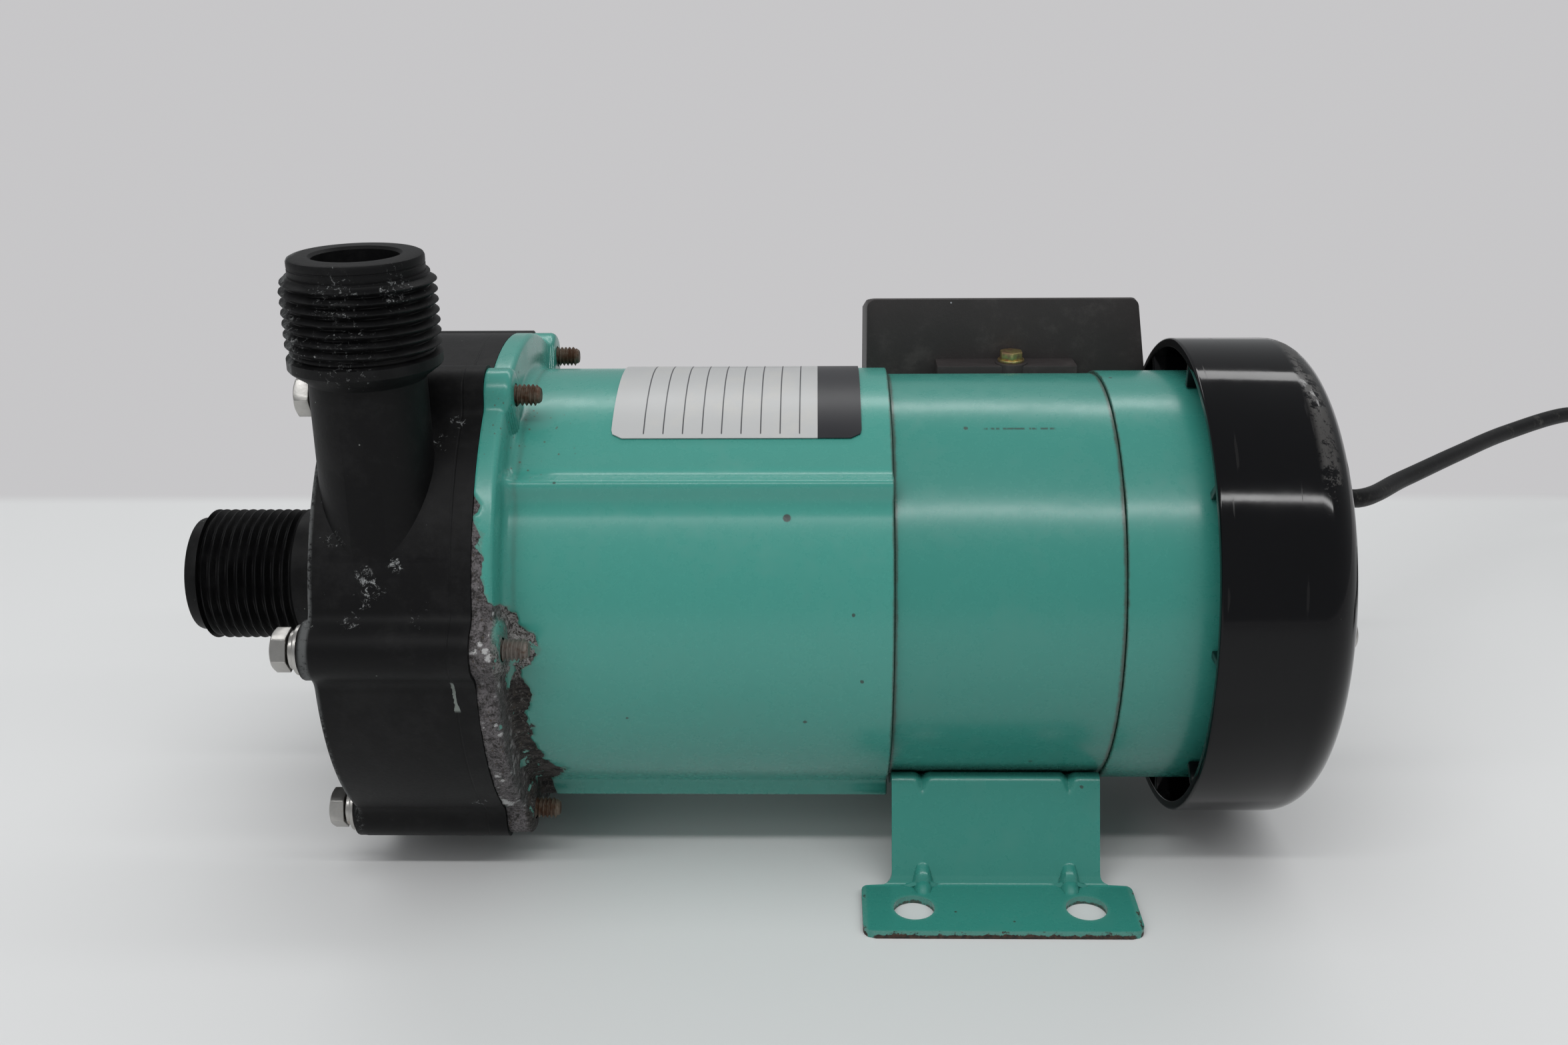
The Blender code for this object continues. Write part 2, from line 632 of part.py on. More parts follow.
def rear_casing(parent):
    """Flange and closed can: the wall between the liquid and the drive magnet."""
    flange_radius = RECESS_RADIUS - SEAT_GAP
    groove = flange_radius - SEAL_GROOVE_DEPTH
    groove_half = SEAL_SECTION_RADIUS + SEAT_GAP
    middle = (REAR_FLANGE_FRONT + CASING_REAR) / 2
    socket = SPINDLE_BORE + SPINDLE_SOCKET_WALL
    profile = [
        (CAN_INNER_END + SEAT_GAP, 0.0),
        (CAN_INNER_END + SEAT_GAP, SPINDLE_BORE),
        (SOCKET_FRONT, SPINDLE_BORE),
        (SOCKET_FRONT, socket),
        (CAN_INNER_END, socket),
        (CAN_INNER_END, CAN_BORE),
        (REAR_FLANGE_FRONT, CAN_BORE),
        (REAR_FLANGE_FRONT, flange_radius),
        (middle - groove_half, flange_radius),
        (middle - groove_half, groove),
        (middle + groove_half, groove),
        (middle + groove_half, flange_radius),
        (CASING_REAR, flange_radius),
        (CASING_REAR, CAN_RADIUS),
        (CAN_REAR, CAN_RADIUS),
        (CAN_REAR, 0.0),
    ]
    turned("rear_casing", profile, MIDDLE_ROUND, parent, "black_casing", ring=False)
    section = arc((middle, groove + SEAT_GAP + SEAL_SECTION_RADIUS), SEAL_SECTION_RADIUS, 0, SEAL_SWEEP, SEAL_STEPS)
    turned("casing_o_ring", section, MIDDLE_ROUND, parent, "seal_rubber")


def spindle_set(parent):
    """The fixed ceramic spindle, its front and rear thrust rings and the mouth ring in the casing."""
    front = (SUPPORT_FRONT, 0, 0)
    rear = (SPINDLE_REAR, 0, 0)
    rod("spindle", front, rear, SPINDLE_RADIUS, SMALL_ROUND, parent, "ceramic")
    bore = SPINDLE_BORE
    tube("front_thrust_ring", THRUST_FRONT, THRUST_REAR, bore, BUSH_RADIUS, SMALL_ROUND, parent, "ceramic")
    rear_ring = SOCKET_FRONT - SEAT_GAP
    start = rear_ring - THRUST_RING_THICKNESS + SEAT_GAP
    tube("rear_thrust_ring", start, rear_ring, bore, BUSH_RADIUS, SMALL_ROUND, parent, "ceramic")
    mouth = CHAMBER_FRONT + SEAT_GAP
    inner = IMPELLER_EYE_RADIUS
    tube(
        "mouth_ring",
        mouth,
        mouth + MOUTH_RING_LENGTH,
        inner,
        inner + MOUTH_RING_WALL,
        MIDDLE_ROUND,
        parent,
        "ceramic",
    )


def vane_outline(first):
    """One backward swept vane as a (y, z) outline, a strip of even thickness."""
    inner_side = []
    outer_side = []
    tip = IMPELLER_RADIUS - IMPELLER_SHROUD
    for step in range(VANE_STEPS + 1):
        share = step / VANE_STEPS
        radius = VANE_ROOT_RADIUS + (tip - VANE_ROOT_RADIUS) * share
        half = math.degrees(VANE_THICKNESS / 2 / radius) * VANE_SLANT
        angle = first + VANE_SWEEP * share
        inner_side.append(around(radius, angle - half))
        outer_side.append(around(radius, angle + half))
    return inner_side + outer_side[::-1]


def impeller(parent):
    """Closed impeller: front shroud, swept vanes and back plate in one moulding."""
    bore = NOSE_RADIUS + SEAT_GAP
    plate_front = IMPELLER_REAR - IMPELLER_BACK
    shroud_rear = IMPELLER_FRONT + IMPELLER_SHROUD
    plate = tube(
        "impeller", plate_front, IMPELLER_REAR, bore, IMPELLER_RADIUS, MIDDLE_ROUND, parent, "black_casing"
    )
    overlap = IMPELLER_SHROUD / 3
    for number, angle in enumerate(spaced(VANE_COUNT, 0.0)):
        start = IMPELLER_FRONT + IMPELLER_SHROUD - overlap
        end = plate_front + overlap
        weld(plate, prism(f"add_vane_{number}", vane_outline(angle), start, end, parent))
    shroud = tube(
        "add_shroud", IMPELLER_FRONT, shroud_rear, IMPELLER_EYE_RADIUS, IMPELLER_RADIUS, MIDDLE_ROUND, parent
    )
    weld(plate, shroud)


def impeller_magnet(parent):
    """Plastic capsule with a nose for the impeller, the driven magnet in it and its bush."""
    magnet_inner = CAPSULE_BORE + CAPSULE_WALL + SEAT_GAP
    magnet_outer = CAPSULE_RADIUS - CAPSULE_WALL - SEAT_GAP
    pocket = CAPSULE_FRONT + CAPSULE_FRONT_WALL
    profile = [
        (NOSE_FRONT, CAPSULE_BORE),
        (NOSE_FRONT, NOSE_RADIUS),
        (CAPSULE_FRONT, NOSE_RADIUS),
        (CAPSULE_FRONT, CAPSULE_RADIUS),
        (CAPSULE_REAR, CAPSULE_RADIUS),
        (CAPSULE_REAR, magnet_outer + SEAT_GAP),
        (pocket, magnet_outer + SEAT_GAP),
        (pocket, magnet_inner - SEAT_GAP),
        (CAPSULE_REAR, magnet_inner - SEAT_GAP),
        (CAPSULE_REAR, CAPSULE_BORE),
    ]
    turned("magnet_capsule", profile, MIDDLE_ROUND, parent, "black_casing")
    start = pocket + SEAT_GAP
    tube("driven_magnet", start, CAPSULE_REAR, magnet_inner, magnet_outer, MIDDLE_ROUND, parent, "magnet")
    tube("impeller_bush", BUSH_FRONT, CAPSULE_REAR, BUSH_BORE, BUSH_RADIUS, SMALL_ROUND, parent, "carbon")


def rib_outline(angle):
    """A square corner that stands out of the bracket, ended inside the bracket's wall."""
    y, z = around(RIB_CORNER_RADIUS, angle)
    inside = BRACKET_RADIUS - BRACKET_WALL / 2
    flat_y = math.copysign(math.sqrt(max(inside**2 - z**2, 0.0)), y)
    flat_z = math.copysign(math.sqrt(max(inside**2 - y**2, 0.0)), z)
    return [(y, z), (flat_y, z), (y, flat_z)]


def bracket(parent):
    """Cast bracket: flange for the pump, drive chamber, front bearing seat and motor spigot."""
    flange_rear = BRACKET_FRONT + FLANGE_THICKNESS
    motor_bore = HOUSING_RADIUS - HOUSING_WALL
    seat_rear = FRONT_BEARING_FRONT + BEARING_WIDTH + SEAT_GAP
    seat_wall = SEAT_RADIUS + BEARING_SEAT_WALL
    profile = [
        (BRACKET_FRONT, BRACKET_BORE),
        (BRACKET_FRONT, CASING_RADIUS),
        (flange_rear - FLANGE_FILLET, CASING_RADIUS),
        (flange_rear, CASING_RADIUS - FLANGE_FILLET),
        (flange_rear, BRACKET_RADIUS + FLANGE_FILLET),
        (flange_rear + FLANGE_FILLET, BRACKET_RADIUS),
        (BRACKET_REAR, BRACKET_RADIUS),
        (BRACKET_REAR, motor_bore),
        (DIVIDER_REAR, motor_bore),
        (DIVIDER_REAR, seat_wall),
        (seat_rear, seat_wall),
        (seat_rear, SEAT_RADIUS),
        (DIVIDER_REAR, SEAT_RADIUS),
        (DIVIDER_REAR, BEARING_STOP_RADIUS),
        (DIVIDER_FRONT, BEARING_STOP_RADIUS),
        (DIVIDER_FRONT, BRACKET_BORE),
    ]
    body = turned("bracket", profile, LARGE_ROUND, parent, "green_paint")
    for number, angle in enumerate(RIB_CORNER_ANGLES):
        start = BRACKET_FRONT + FLANGE_THICKNESS / 2
        weld(body, prism(f"add_rib_{number}", rib_outline(angle), start, BRACKET_REAR, parent))
    boss_rear = BRACKET_FRONT + BRACKET_BOSS_LENGTH
    for number, (y, z) in enumerate(bolt_places()):
        start = (BRACKET_FRONT, y, z)
        end = (boss_rear, y, z)
        weld(body, rod(f"add_lug_{number}", start, end, BRACKET_BOSS_RADIUS, SMALL_ROUND, parent))
    for number, (y, z) in enumerate(bolt_places()):
        start = (BRACKET_FRONT - CASING_EDGE, y, z)
        end = (boss_rear + CASING_EDGE, y, z)
        cut(body, rod(f"cut_lug_{number}", start, end, BOLT_RADIUS + SEAT_GAP, SMALL_ROUND, parent))


def casing_bolts(parent):
    """Six hexagon bolts with a stepped washer each: the flat washer and the spring washer on it."""
    washer_rear = BOSS_FRONT - SEAT_GAP
    flat_front = washer_rear - WASHER_THICKNESS
    spring_front = flat_front - SPRING_WASHER_THICKNESS
    head_rear = spring_front - SEAT_GAP
    tail = BRACKET_FRONT + BRACKET_BOSS_LENGTH + BOLT_TAIL
    corner = BOLT_HEAD_FLATS / math.sqrt(3)
    bore = BOLT_RADIUS + SEAT_GAP
    for number, (y, z) in enumerate(bolt_places(), start=1):
        place = Matrix.Translation((0, y, z))
        ring = [
            (spring_front, bore),
            (spring_front, SPRING_WASHER_RADIUS),
            (flat_front, SPRING_WASHER_RADIUS),
            (flat_front, WASHER_RADIUS),
            (washer_rear, WASHER_RADIUS),
            (washer_rear, bore),
        ]
        turned(f"casing_washer_{number}", ring, SMALL_ROUND, parent, "steel", place=place)
        head_front = (head_rear - BOLT_HEAD_HEIGHT, y, z)
        head = rod(f"casing_bolt_{number}", head_front, (head_rear, y, z), corner, 6, parent, "steel")
        shank_start = (head_rear - BOLT_HEAD_HEIGHT / 2, y, z)
        weld(head, rod(f"add_shank_{number}", shank_start, (tail, y, z), BOLT_RADIUS, SMALL_ROUND, parent))


def drive_magnet(parent):
    """Cup on the motor shaft that carries the drive magnet round the can."""
    profile = [
        (YOKE_FRONT, YOKE_BORE),
        (YOKE_FRONT, YOKE_RADIUS),
        (YOKE_BASE_REAR, YOKE_RADIUS),
        (YOKE_BASE_REAR, YOKE_HUB_RADIUS),
        (YOKE_REAR, YOKE_HUB_RADIUS),
        (YOKE_REAR, SHAFT_BORE),
        (YOKE_BASE_FRONT, SHAFT_BORE),
        (YOKE_BASE_FRONT, YOKE_BORE),
    ]
    yoke = turned("drive_yoke", profile, MIDDLE_ROUND, parent, "steel")
    middle = YOKE_BASE_REAR + YOKE_HUB_LENGTH / 2
    hub_top = (middle, 0, YOKE_HUB_RADIUS + SEAT_GAP)
    hole = rod("cut_set_screw", (middle, 0, 0), hub_top, SET_SCREW_RADIUS + SEAT_GAP, SMALL_ROUND, parent)
    cut(yoke, hole)
    screw_foot = (middle, 0, SHAFT_RADIUS + SEAT_GAP)
    screw_top = (middle, 0, YOKE_HUB_RADIUS - SEAT_GAP)
    rod("yoke_set_screw", screw_foot, screw_top, SET_SCREW_RADIUS, SMALL_ROUND, parent, "steel")
    outer = YOKE_BORE - SEAT_GAP
    inner = outer - DRIVE_MAGNET_THICKNESS
    start = YOKE_FRONT + YOKE_WALL
    end = start + DRIVE_MAGNET_LENGTH
    tube("drive_magnet", start, end, inner, outer, MIDDLE_ROUND, parent, "magnet")


def rotor(parent):
    """Motor shaft with the rotor core pressed on it."""
    front = (YOKE_BASE_FRONT + SEAT_GAP, 0, 0)
    rod("motor_shaft", front, (SHAFT_REAR, 0, 0), SHAFT_RADIUS, SMALL_ROUND, parent, "steel")
    half = ROTOR_LENGTH / 2
    tube("rotor_core", -half, half, SHAFT_BORE, ROTOR_RADIUS, MIDDLE_ROUND, parent, "lamination")


def bearing(name, start, still, turning):
    """A ball bearing as three rings: the balls stand as one ring of their own."""
    end = start + BEARING_WIDTH
    inner_outer = SHAFT_BORE + BEARING_INNER_WALL
    outer_inner = BEARING_OUTER_RADIUS - BEARING_OUTER_WALL
    ball_inner = inner_outer + RUNNING_GAP
    ball_outer = outer_inner - RUNNING_GAP
    inset = BEARING_WIDTH / 4
    tube(f"{name}_inner_ring", start, end, SHAFT_BORE, inner_outer, SMALL_ROUND, turning, "steel")
    tube(f"{name}_balls", start + inset, end - inset, ball_inner, ball_outer, SMALL_ROUND, still, "steel")
    tube(
        f"{name}_outer_ring", start, end, outer_inner, BEARING_OUTER_RADIUS, MIDDLE_ROUND, still, "steel"
    )


def stator(parent):
    """Housing, laminated core and the two winding heads."""
    core_radius = HOUSING_RADIUS - HOUSING_WALL - SEAT_GAP
    core_bore = ROTOR_RADIUS + AIR_GAP
    front = HOUSING_FRONT
    rear = HOUSING_REAR
    wall = HOUSING_RADIUS - HOUSING_WALL
    tube("stator_housing", front, rear, wall, HOUSING_RADIUS, LARGE_ROUND, parent, "green_paint")
    tube("stator_core", front, rear, core_bore, core_radius, MIDDLE_ROUND, parent, "lamination")
    spans = {
        "front_winding": (front - SEAT_GAP - WINDING_LENGTH, front - SEAT_GAP),
        "rear_winding": (rear + SEAT_GAP, rear + SEAT_GAP + WINDING_LENGTH),
    }
    for name, (start, end) in spans.items():
        tube(
            name, start, end, WINDING_INNER_RADIUS, WINDING_OUTER_RADIUS, MIDDLE_ROUND, parent, "copper"
        )


def rear_end_bracket(parent):
    """Domed end of the motor with the rear bearing seat and the posts for the fan cover's screws."""
    bore = END_RADIUS - END_WALL
    inner_face = END_REAR - BEARING_STOP_WALL
    seat_wall = SEAT_RADIUS + BEARING_SEAT_WALL
    seat_front = REAR_BEARING_FRONT - SEAT_GAP
    corner = (END_REAR - END_ROUNDING, END_RADIUS - END_ROUNDING)
    profile = [(END_FRONT, bore), (END_FRONT, END_RADIUS)]
    profile += arc(corner, END_ROUNDING, 90, 0, 3)
    profile += [
        (END_REAR, BEARING_STOP_RADIUS),
        (inner_face, BEARING_STOP_RADIUS),
        (inner_face, SEAT_RADIUS),
        (seat_front, SEAT_RADIUS),
        (seat_front, seat_wall),
        (inner_face, seat_wall),
        (inner_face, bore),
    ]
    body = turned("rear_end_bracket", profile, LARGE_ROUND, parent, "green_paint")
    post_start = END_REAR - BEARING_STOP_WALL / 2
    post_end = COVER_INNER_FACE - SEAT_GAP
    hole_start = post_end - COVER_SCREW_DEPTH
    for number, (y, z) in enumerate(cover_screw_places()):
        post = rod(
            f"add_post_{number}",
            (post_start, y, z),
            (post_end, y, z),
            COVER_POST_RADIUS,
            SMALL_ROUND,
            parent,
        )
        weld(body, post)
        hole = rod(
            f"cut_post_{number}",
            (hole_start - SEAT_GAP, y, z),
            (post_end + CASING_EDGE, y, z),
            COVER_SCREW_RADIUS + SEAT_GAP,
            SMALL_ROUND,
            parent,
        )
        cut(body, hole)


def cover_screw_places():
    return [around(COVER_SCREW_CIRCLE, a) for a in spaced(COVER_SCREW_COUNT, COVER_SCREW_FIRST_ANGLE)]


def cooling_fan(parent):
    """Radial fan: hub, back plate and straight blades."""
    plate_end = FAN_FRONT + FAN_PLATE
    end = FAN_FRONT + FAN_DEPTH
    profile = [
        (FAN_FRONT, SHAFT_BORE),
        (FAN_FRONT, FAN_RADIUS),
        (plate_end, FAN_RADIUS),
        (plate_end, FAN_HUB_RADIUS),
        (end, FAN_HUB_RADIUS),
        (end, SHAFT_BORE),
    ]
    fan = turned("cooling_fan", profile, MIDDLE_ROUND, parent, "black_box")
    root = (SHAFT_BORE + FAN_HUB_RADIUS) / 2
    tip = FAN_RADIUS - FAN_PLATE
    half = FAN_BLADE_THICKNESS / 2
    for number, angle in enumerate(spaced(FAN_BLADES, 0.0)):
        turn = math.radians(angle)
        corners = [(root, -half), (tip, -half), (tip, half), (root, half)]
        outline = [
            (a * math.cos(turn) - b * math.sin(turn), a * math.sin(turn) + b * math.cos(turn))
            for a, b in corners
        ]
        weld(fan, prism(f"add_blade_{number}", outline, FAN_FRONT + FAN_PLATE / 2, end, parent))


def fan_cover(parent):
    """Deep cup over the fan, open at the front, with inner ribs, air slots and its screws."""
    inner = COVER_RADIUS - COVER_WALL
    inner_rounding = COVER_ROUNDING - COVER_WALL
    corner = (COVER_REAR - COVER_ROUNDING, COVER_RADIUS - COVER_ROUNDING)
    profile = [(COVER_INNER_FACE, 0.0)]
    profile += arc(corner, inner_rounding, 0, 90, 3)
    profile += [(COVER_FRONT, inner), (COVER_FRONT, COVER_RADIUS)]
    profile += arc(corner, COVER_ROUNDING, 90, 0, 4)
    profile += [(COVER_REAR, 0.0)]
    cover = turned("fan_cover", profile, LARGE_ROUND, parent, "black_gloss", ring=False)
    half = COVER_RIB_THICKNESS / 2
    for number, angle in enumerate(spaced(COVER_RIB_COUNT, 30.0)):
        turn = math.radians(angle)
        foot = END_RADIUS + SEAT_GAP
        top = inner + COVER_WALL / 2
        corners = [(foot, -half), (top, -half), (top, half), (foot, half)]
        outline = [
            (-a * math.cos(turn) - b * math.sin(turn), a * math.sin(turn) - b * math.cos(turn))
            for a, b in corners
        ]
        start = COVER_FRONT + CASING_EDGE
        end = COVER_REAR - COVER_ROUNDING
        weld(cover, prism(f"add_rib_in_cover_{number}", outline, start, end, parent))
    width = COVER_SLOT_WIDTH / 2
    for number, angle in enumerate(spaced(COVER_SLOT_COUNT, 18.0)):
        turn = math.radians(angle)
        corners = [
            (COVER_SLOT_INNER, -width),
            (COVER_SLOT_OUTER, -width),
            (COVER_SLOT_OUTER, width),
            (COVER_SLOT_INNER, width),
        ]
        outline = [
            (a * math.cos(turn) - b * math.sin(turn), a * math.sin(turn) + b * math.cos(turn))
            for a, b in corners
        ]
        start = COVER_INNER_FACE - CASING_EDGE
        cut(cover, prism(f"cut_slot_{number}", outline, start, COVER_REAR + CASING_EDGE, parent))
    head_rear = COVER_REAR + SEAT_GAP + COVER_SCREW_HEAD_HEIGHT
    for number, (y, z) in enumerate(cover_screw_places(), start=1):
        start = (COVER_INNER_FACE - CASING_EDGE, y, z)
        end = (COVER_REAR + CASING_EDGE, y, z)
        hole = rod(f"cut_cover_{number}", start, end, COVER_SCREW_RADIUS + SEAT_GAP, SMALL_ROUND, parent)
        cut(cover, hole)
        head_start = (COVER_REAR + SEAT_GAP, y, z)
        head = rod(
            f"fan_cover_screw_{number}",
            head_start,
            (head_rear, y, z),
            COVER_SCREW_HEAD_RADIUS,
            SMALL_ROUND,
            parent,
            "steel",
        )
        tip = (COVER_INNER_FACE - SEAT_GAP - COVER_SCREW_DEPTH, y, z)
        inside_head = (head_rear - COVER_SCREW_HEAD_HEIGHT / 2, y, z)
        weld(head, rod(f"add_screw_{number}", tip, inside_head, COVER_SCREW_RADIUS, SMALL_ROUND, parent))


def foot_path():
    """Middle line of the bent sheet, (y, z) from the near flange over the saddle to the far flange."""
    middle = FOOT_SHEET / 2
    saddle = HOUSING_RADIUS + SEAT_GAP + middle
    start = math.degrees(math.acos(FOOT_WEB_TOP / saddle))
    near = [
        (-FOOT_FLANGE_INNER, middle),
        (-FOOT_FLANGE_INNER + FOOT_SHEET, middle + FOOT_SHEET / 2),
    ]
    bow = []
    for step in range(SADDLE_STEPS + 1):
        angle = -start - (180.0 - 2 * start) * step / SADDLE_STEPS
        y, z = around(saddle, angle)
        bow.append((y, z + SHAFT_HEIGHT))
    far = [(-y, z) for y, z in reversed(near)]
    return near + bow + far


def base_foot(parent):
    """Hat-shaped foot pressed from one sheet: two flanges, two webs and a saddle under the motor."""
    bm = bmesh.new()
    half_web = FOOT_WEB_LENGTH / 2
    rows = []
    for y, z in foot_path():
        rows.append((bm.verts.new((-half_web, y, z)), bm.verts.new((half_web, y, z))))
    for (a, b), (c, d) in zip(rows, rows[1:]):
        bm.faces.new((a, b, d, c))
    half = FOOT_LENGTH / 2
    low = FOOT_SHEET / 2
    for side, (left, right) in ((-1, rows[0]), (1, rows[-1])):
        outer = side * FOOT_HALF_WIDTH
        inner = side * FOOT_FLANGE_INNER
        near_corner = outer - side * FOOT_CORNER
        points = [
            (half, inner),
            (half, near_corner),
            (half - FOOT_CORNER * CORNER_SHARE, outer - side * FOOT_CORNER * CORNER_SHARE),
            (half - FOOT_CORNER, outer),
            (-half + FOOT_CORNER, outer),
            (-half + FOOT_CORNER * CORNER_SHARE, outer - side * FOOT_CORNER * CORNER_SHARE),
            (-half, near_corner),
            (-half, inner),
        ]
        ring = [bm.verts.new((x, y, low)) for x, y in points]
        bm.faces.new([right] + ring + [left])
    bmesh.ops.recalc_face_normals(bm, faces=bm.faces)
    foot = solid("base_foot", bm, parent, "green_paint")
    sheet = foot.modifiers.new("sheet", "SOLIDIFY")
    sheet.thickness = FOOT_SHEET
    sheet.offset = 0.0
    sheet.use_even_offset = True
    sheet.use_quality_normals = True
    number = 0
    for x in (-FOOT_HOLE_SPACING_X / 2, FOOT_HOLE_SPACING_X / 2):
        for y in (-FOOT_HOLE_SPACING_Y / 2, FOOT_HOLE_SPACING_Y / 2):
            number += 1
            low_end = (x, y, -FOOT_SHEET)
            high_end = (x, y, 2 * FOOT_SHEET)
            cut(foot, rod(f"cut_foot_{number}", low_end, high_end, FOOT_HOLE_RADIUS, SMALL_ROUND, parent))


def box_outline(inset):
    """(x, z) outline of the terminal box, whose rear wall leans outwards towards the bottom."""
    left = BOX_FRONT + inset
    right_top = BOX_REAR - BOX_SLOPE - inset
    right_low = BOX_REAR - inset
    top = BOX_TOP - inset
    low = BOX_BOTTOM + inset
    corner = max(BOX_CORNER - inset, BOX_CORNER / 4)
    return [
        (left, low),
        (right_low, low),
        (right_top + BOX_SLOPE / 2, (top + low) / 2),
        (right_top, top - corner),
        (right_top - corner * CORNER_SHARE, top - corner * CORNER_SHARE),
        (right_top - corner, top),
        (left + corner, top),
        (left + corner * CORNER_SHARE, top - corner * CORNER_SHARE),
        (left, top - corner),
    ]


def slab(name, outline, near, far, parent, finish=None):
    """Extrudes an (x, z) outline along Y."""
    bm = bmesh.new()
    face = bm.faces.new([bm.verts.new((x, near, z)) for x, z in outline])
    grown = bmesh.ops.extrude_face_region(bm, geom=[face])["geom"]
    moved = [item for item in grown if isinstance(item, bmesh.types.BMVert)]
    bmesh.ops.translate(bm, verts=moved, vec=(0, far - near, 0))
    return solid(name, bm, parent, finish, smooth=False)


def box_lid(name, inset, parent):
    """Block over the box's top, which falls towards the far side from a narrow flat edge."""
    low = (BOX_FRONT - BOX_WALL, 0.0, 0.0)
    high = (BOX_REAR + BOX_WALL, 2 * BOX_DEPTH, BOX_HEIGHT)
    lid = block(name, low, high, parent)
    hinge = (0.0, BOX_NEAR + BOX_EDGE, BOX_TOP - inset / math.cos(BOX_FALL_ANGLE))
    lid.data.transform(Matrix.Translation(hinge) @ Matrix.Rotation(-BOX_FALL_ANGLE, 4, "X"))
    return lid


def terminal_box(parent):
    """Box that saddles the motor's far side, with a lug for its screw, the capacitor and the terminals."""
    outer = slab("terminal_box", box_outline(0.0), BOX_NEAR, BOX_FAR, parent, "black_box")
    cut(outer, box_lid("cut_box_lid", 0.0, parent))
    lug_start = BOX_FRONT + BOX_LUG_START
    lug_near = BOX_NEAR - BOX_LUG_DEPTH
    lug_low = (lug_start, lug_near, BOX_LUG_TOP - BOX_LUG_HEIGHT)
    lug_high = (lug_start + BOX_LUG_LENGTH, BOX_NEAR + BOX_WALL / 2, BOX_LUG_TOP)
    weld(outer, block("add_lug_block", lug_low, lug_high, parent))
    hollow = slab("cut_box_inside", box_outline(BOX_WALL), BOX_NEAR + BOX_WALL, BOX_FAR - BOX_WALL, parent)
    cut(hollow, box_lid("cut_box_inner_lid", BOX_WALL, parent))
    cut(outer, hollow)
    saddle = max(HOUSING_RADIUS, BRACKET_RADIUS, END_RADIUS) + SEAT_GAP
    ends = (BOX_FRONT - BOX_WALL, 0, 0), (BOX_REAR + BOX_WALL, 0, 0)
    cut(outer, rod("cut_saddle", *ends, saddle, LARGE_ROUND, parent))
    rib_y, rib_z = around(RIB_CORNER_RADIUS, RIB_CORNER_ANGLES[1])
    notch_low = (BOX_FRONT - BOX_WALL, BOX_NEAR - BOX_LUG_DEPTH, 0.0)
    notch_high = (BRACKET_REAR + SEAT_GAP, rib_y + SEAT_GAP, rib_z + SEAT_GAP)
    cut(outer, block("cut_rib_notch", notch_low, notch_high, parent))
    screw_x = lug_start + BOX_LUG_LENGTH / 2 + BOX_WALL / 2
    screw_y = lug_near + BOX_LUG_DEPTH / 2
    housing_top = math.sqrt(HOUSING_RADIUS**2 - (screw_y - BOX_SCREW_RADIUS) ** 2)
    hole = rod(
        "cut_box_screw",
        (screw_x, screw_y, housing_top - BOX_WALL),
        (screw_x, screw_y, BOX_LUG_TOP + BOX_WALL),
        BOX_SCREW_RADIUS + SEAT_GAP,
        SMALL_ROUND,
        parent,
    )
    cut(outer, hole)
    head_foot = BOX_LUG_TOP + SEAT_GAP
    head_top = head_foot + BOX_SCREW_HEAD_HEIGHT
    head = rod(
        "terminal_box_screw",
        (screw_x, screw_y, head_foot),
        (screw_x, screw_y, head_top),
        BOX_SCREW_HEAD_RADIUS,
        SMALL_ROUND,
        parent,
        "yellow_zinc",
    )
    shank_foot = (screw_x, screw_y, housing_top + 2 * SEAT_GAP)
    shank_top = (screw_x, screw_y, head_top - BOX_SCREW_HEAD_HEIGHT / 2)
    weld(head, rod("add_box_screw", shank_foot, shank_top, BOX_SCREW_RADIUS, SMALL_ROUND, parent))
    terminal_box_contents(parent)


def terminal_box_contents(parent):
    """Run capacitor and terminal block, both held against the box's far wall."""
    wall = BOX_FAR - BOX_WALL - SEAT_GAP
    middle = (BOX_FRONT + BOX_REAR - BOX_SLOPE) / 2
    half = CAPACITOR_LENGTH / 2
    depth = wall - CAPACITOR_RADIUS
    lid = BOX_TOP - (depth - BOX_NEAR - BOX_EDGE) * math.tan(BOX_FALL_ANGLE)
    top = lid - (BOX_WALL + SEAT_GAP + CAPACITOR_RADIUS) / math.cos(BOX_FALL_ANGLE)
    start = (middle - half, depth, top)
    end = (middle + half, depth, top)
    rod("run_capacitor", start, end, CAPACITOR_RADIUS, MIDDLE_ROUND, parent, "aluminium")
    length, thick, height = TERMINAL_SIZE
    high = top - CAPACITOR_RADIUS - TERMINAL_DROP
    low_corner = (middle - length / 2, wall - thick, high - height)
    high_corner = (middle + length / 2, wall, high)
    block("terminal_block", low_corner, high_corner, parent, "plate_white")


def strain_relief(parent):
    """Tapered sleeve with a collar where the lead leaves the box."""
    collar = RELIEF_START + RELIEF_COLLAR_LENGTH
    profile = [
        (RELIEF_START, 0.0),
        (RELIEF_START, RELIEF_COLLAR_RADIUS),
        (collar, RELIEF_COLLAR_RADIUS),
        (collar, (RELIEF_COLLAR_RADIUS + RELIEF_TIP_RADIUS) / 2),
        (RELIEF_END, RELIEF_TIP_RADIUS),
        (RELIEF_END, 0.0),
    ]
    place = Matrix.Translation((0, LEAD_Y, LEAD_HEIGHT))
    turned("strain_relief", profile, SMALL_ROUND, parent, "seal_rubber", ring=False, place=place)


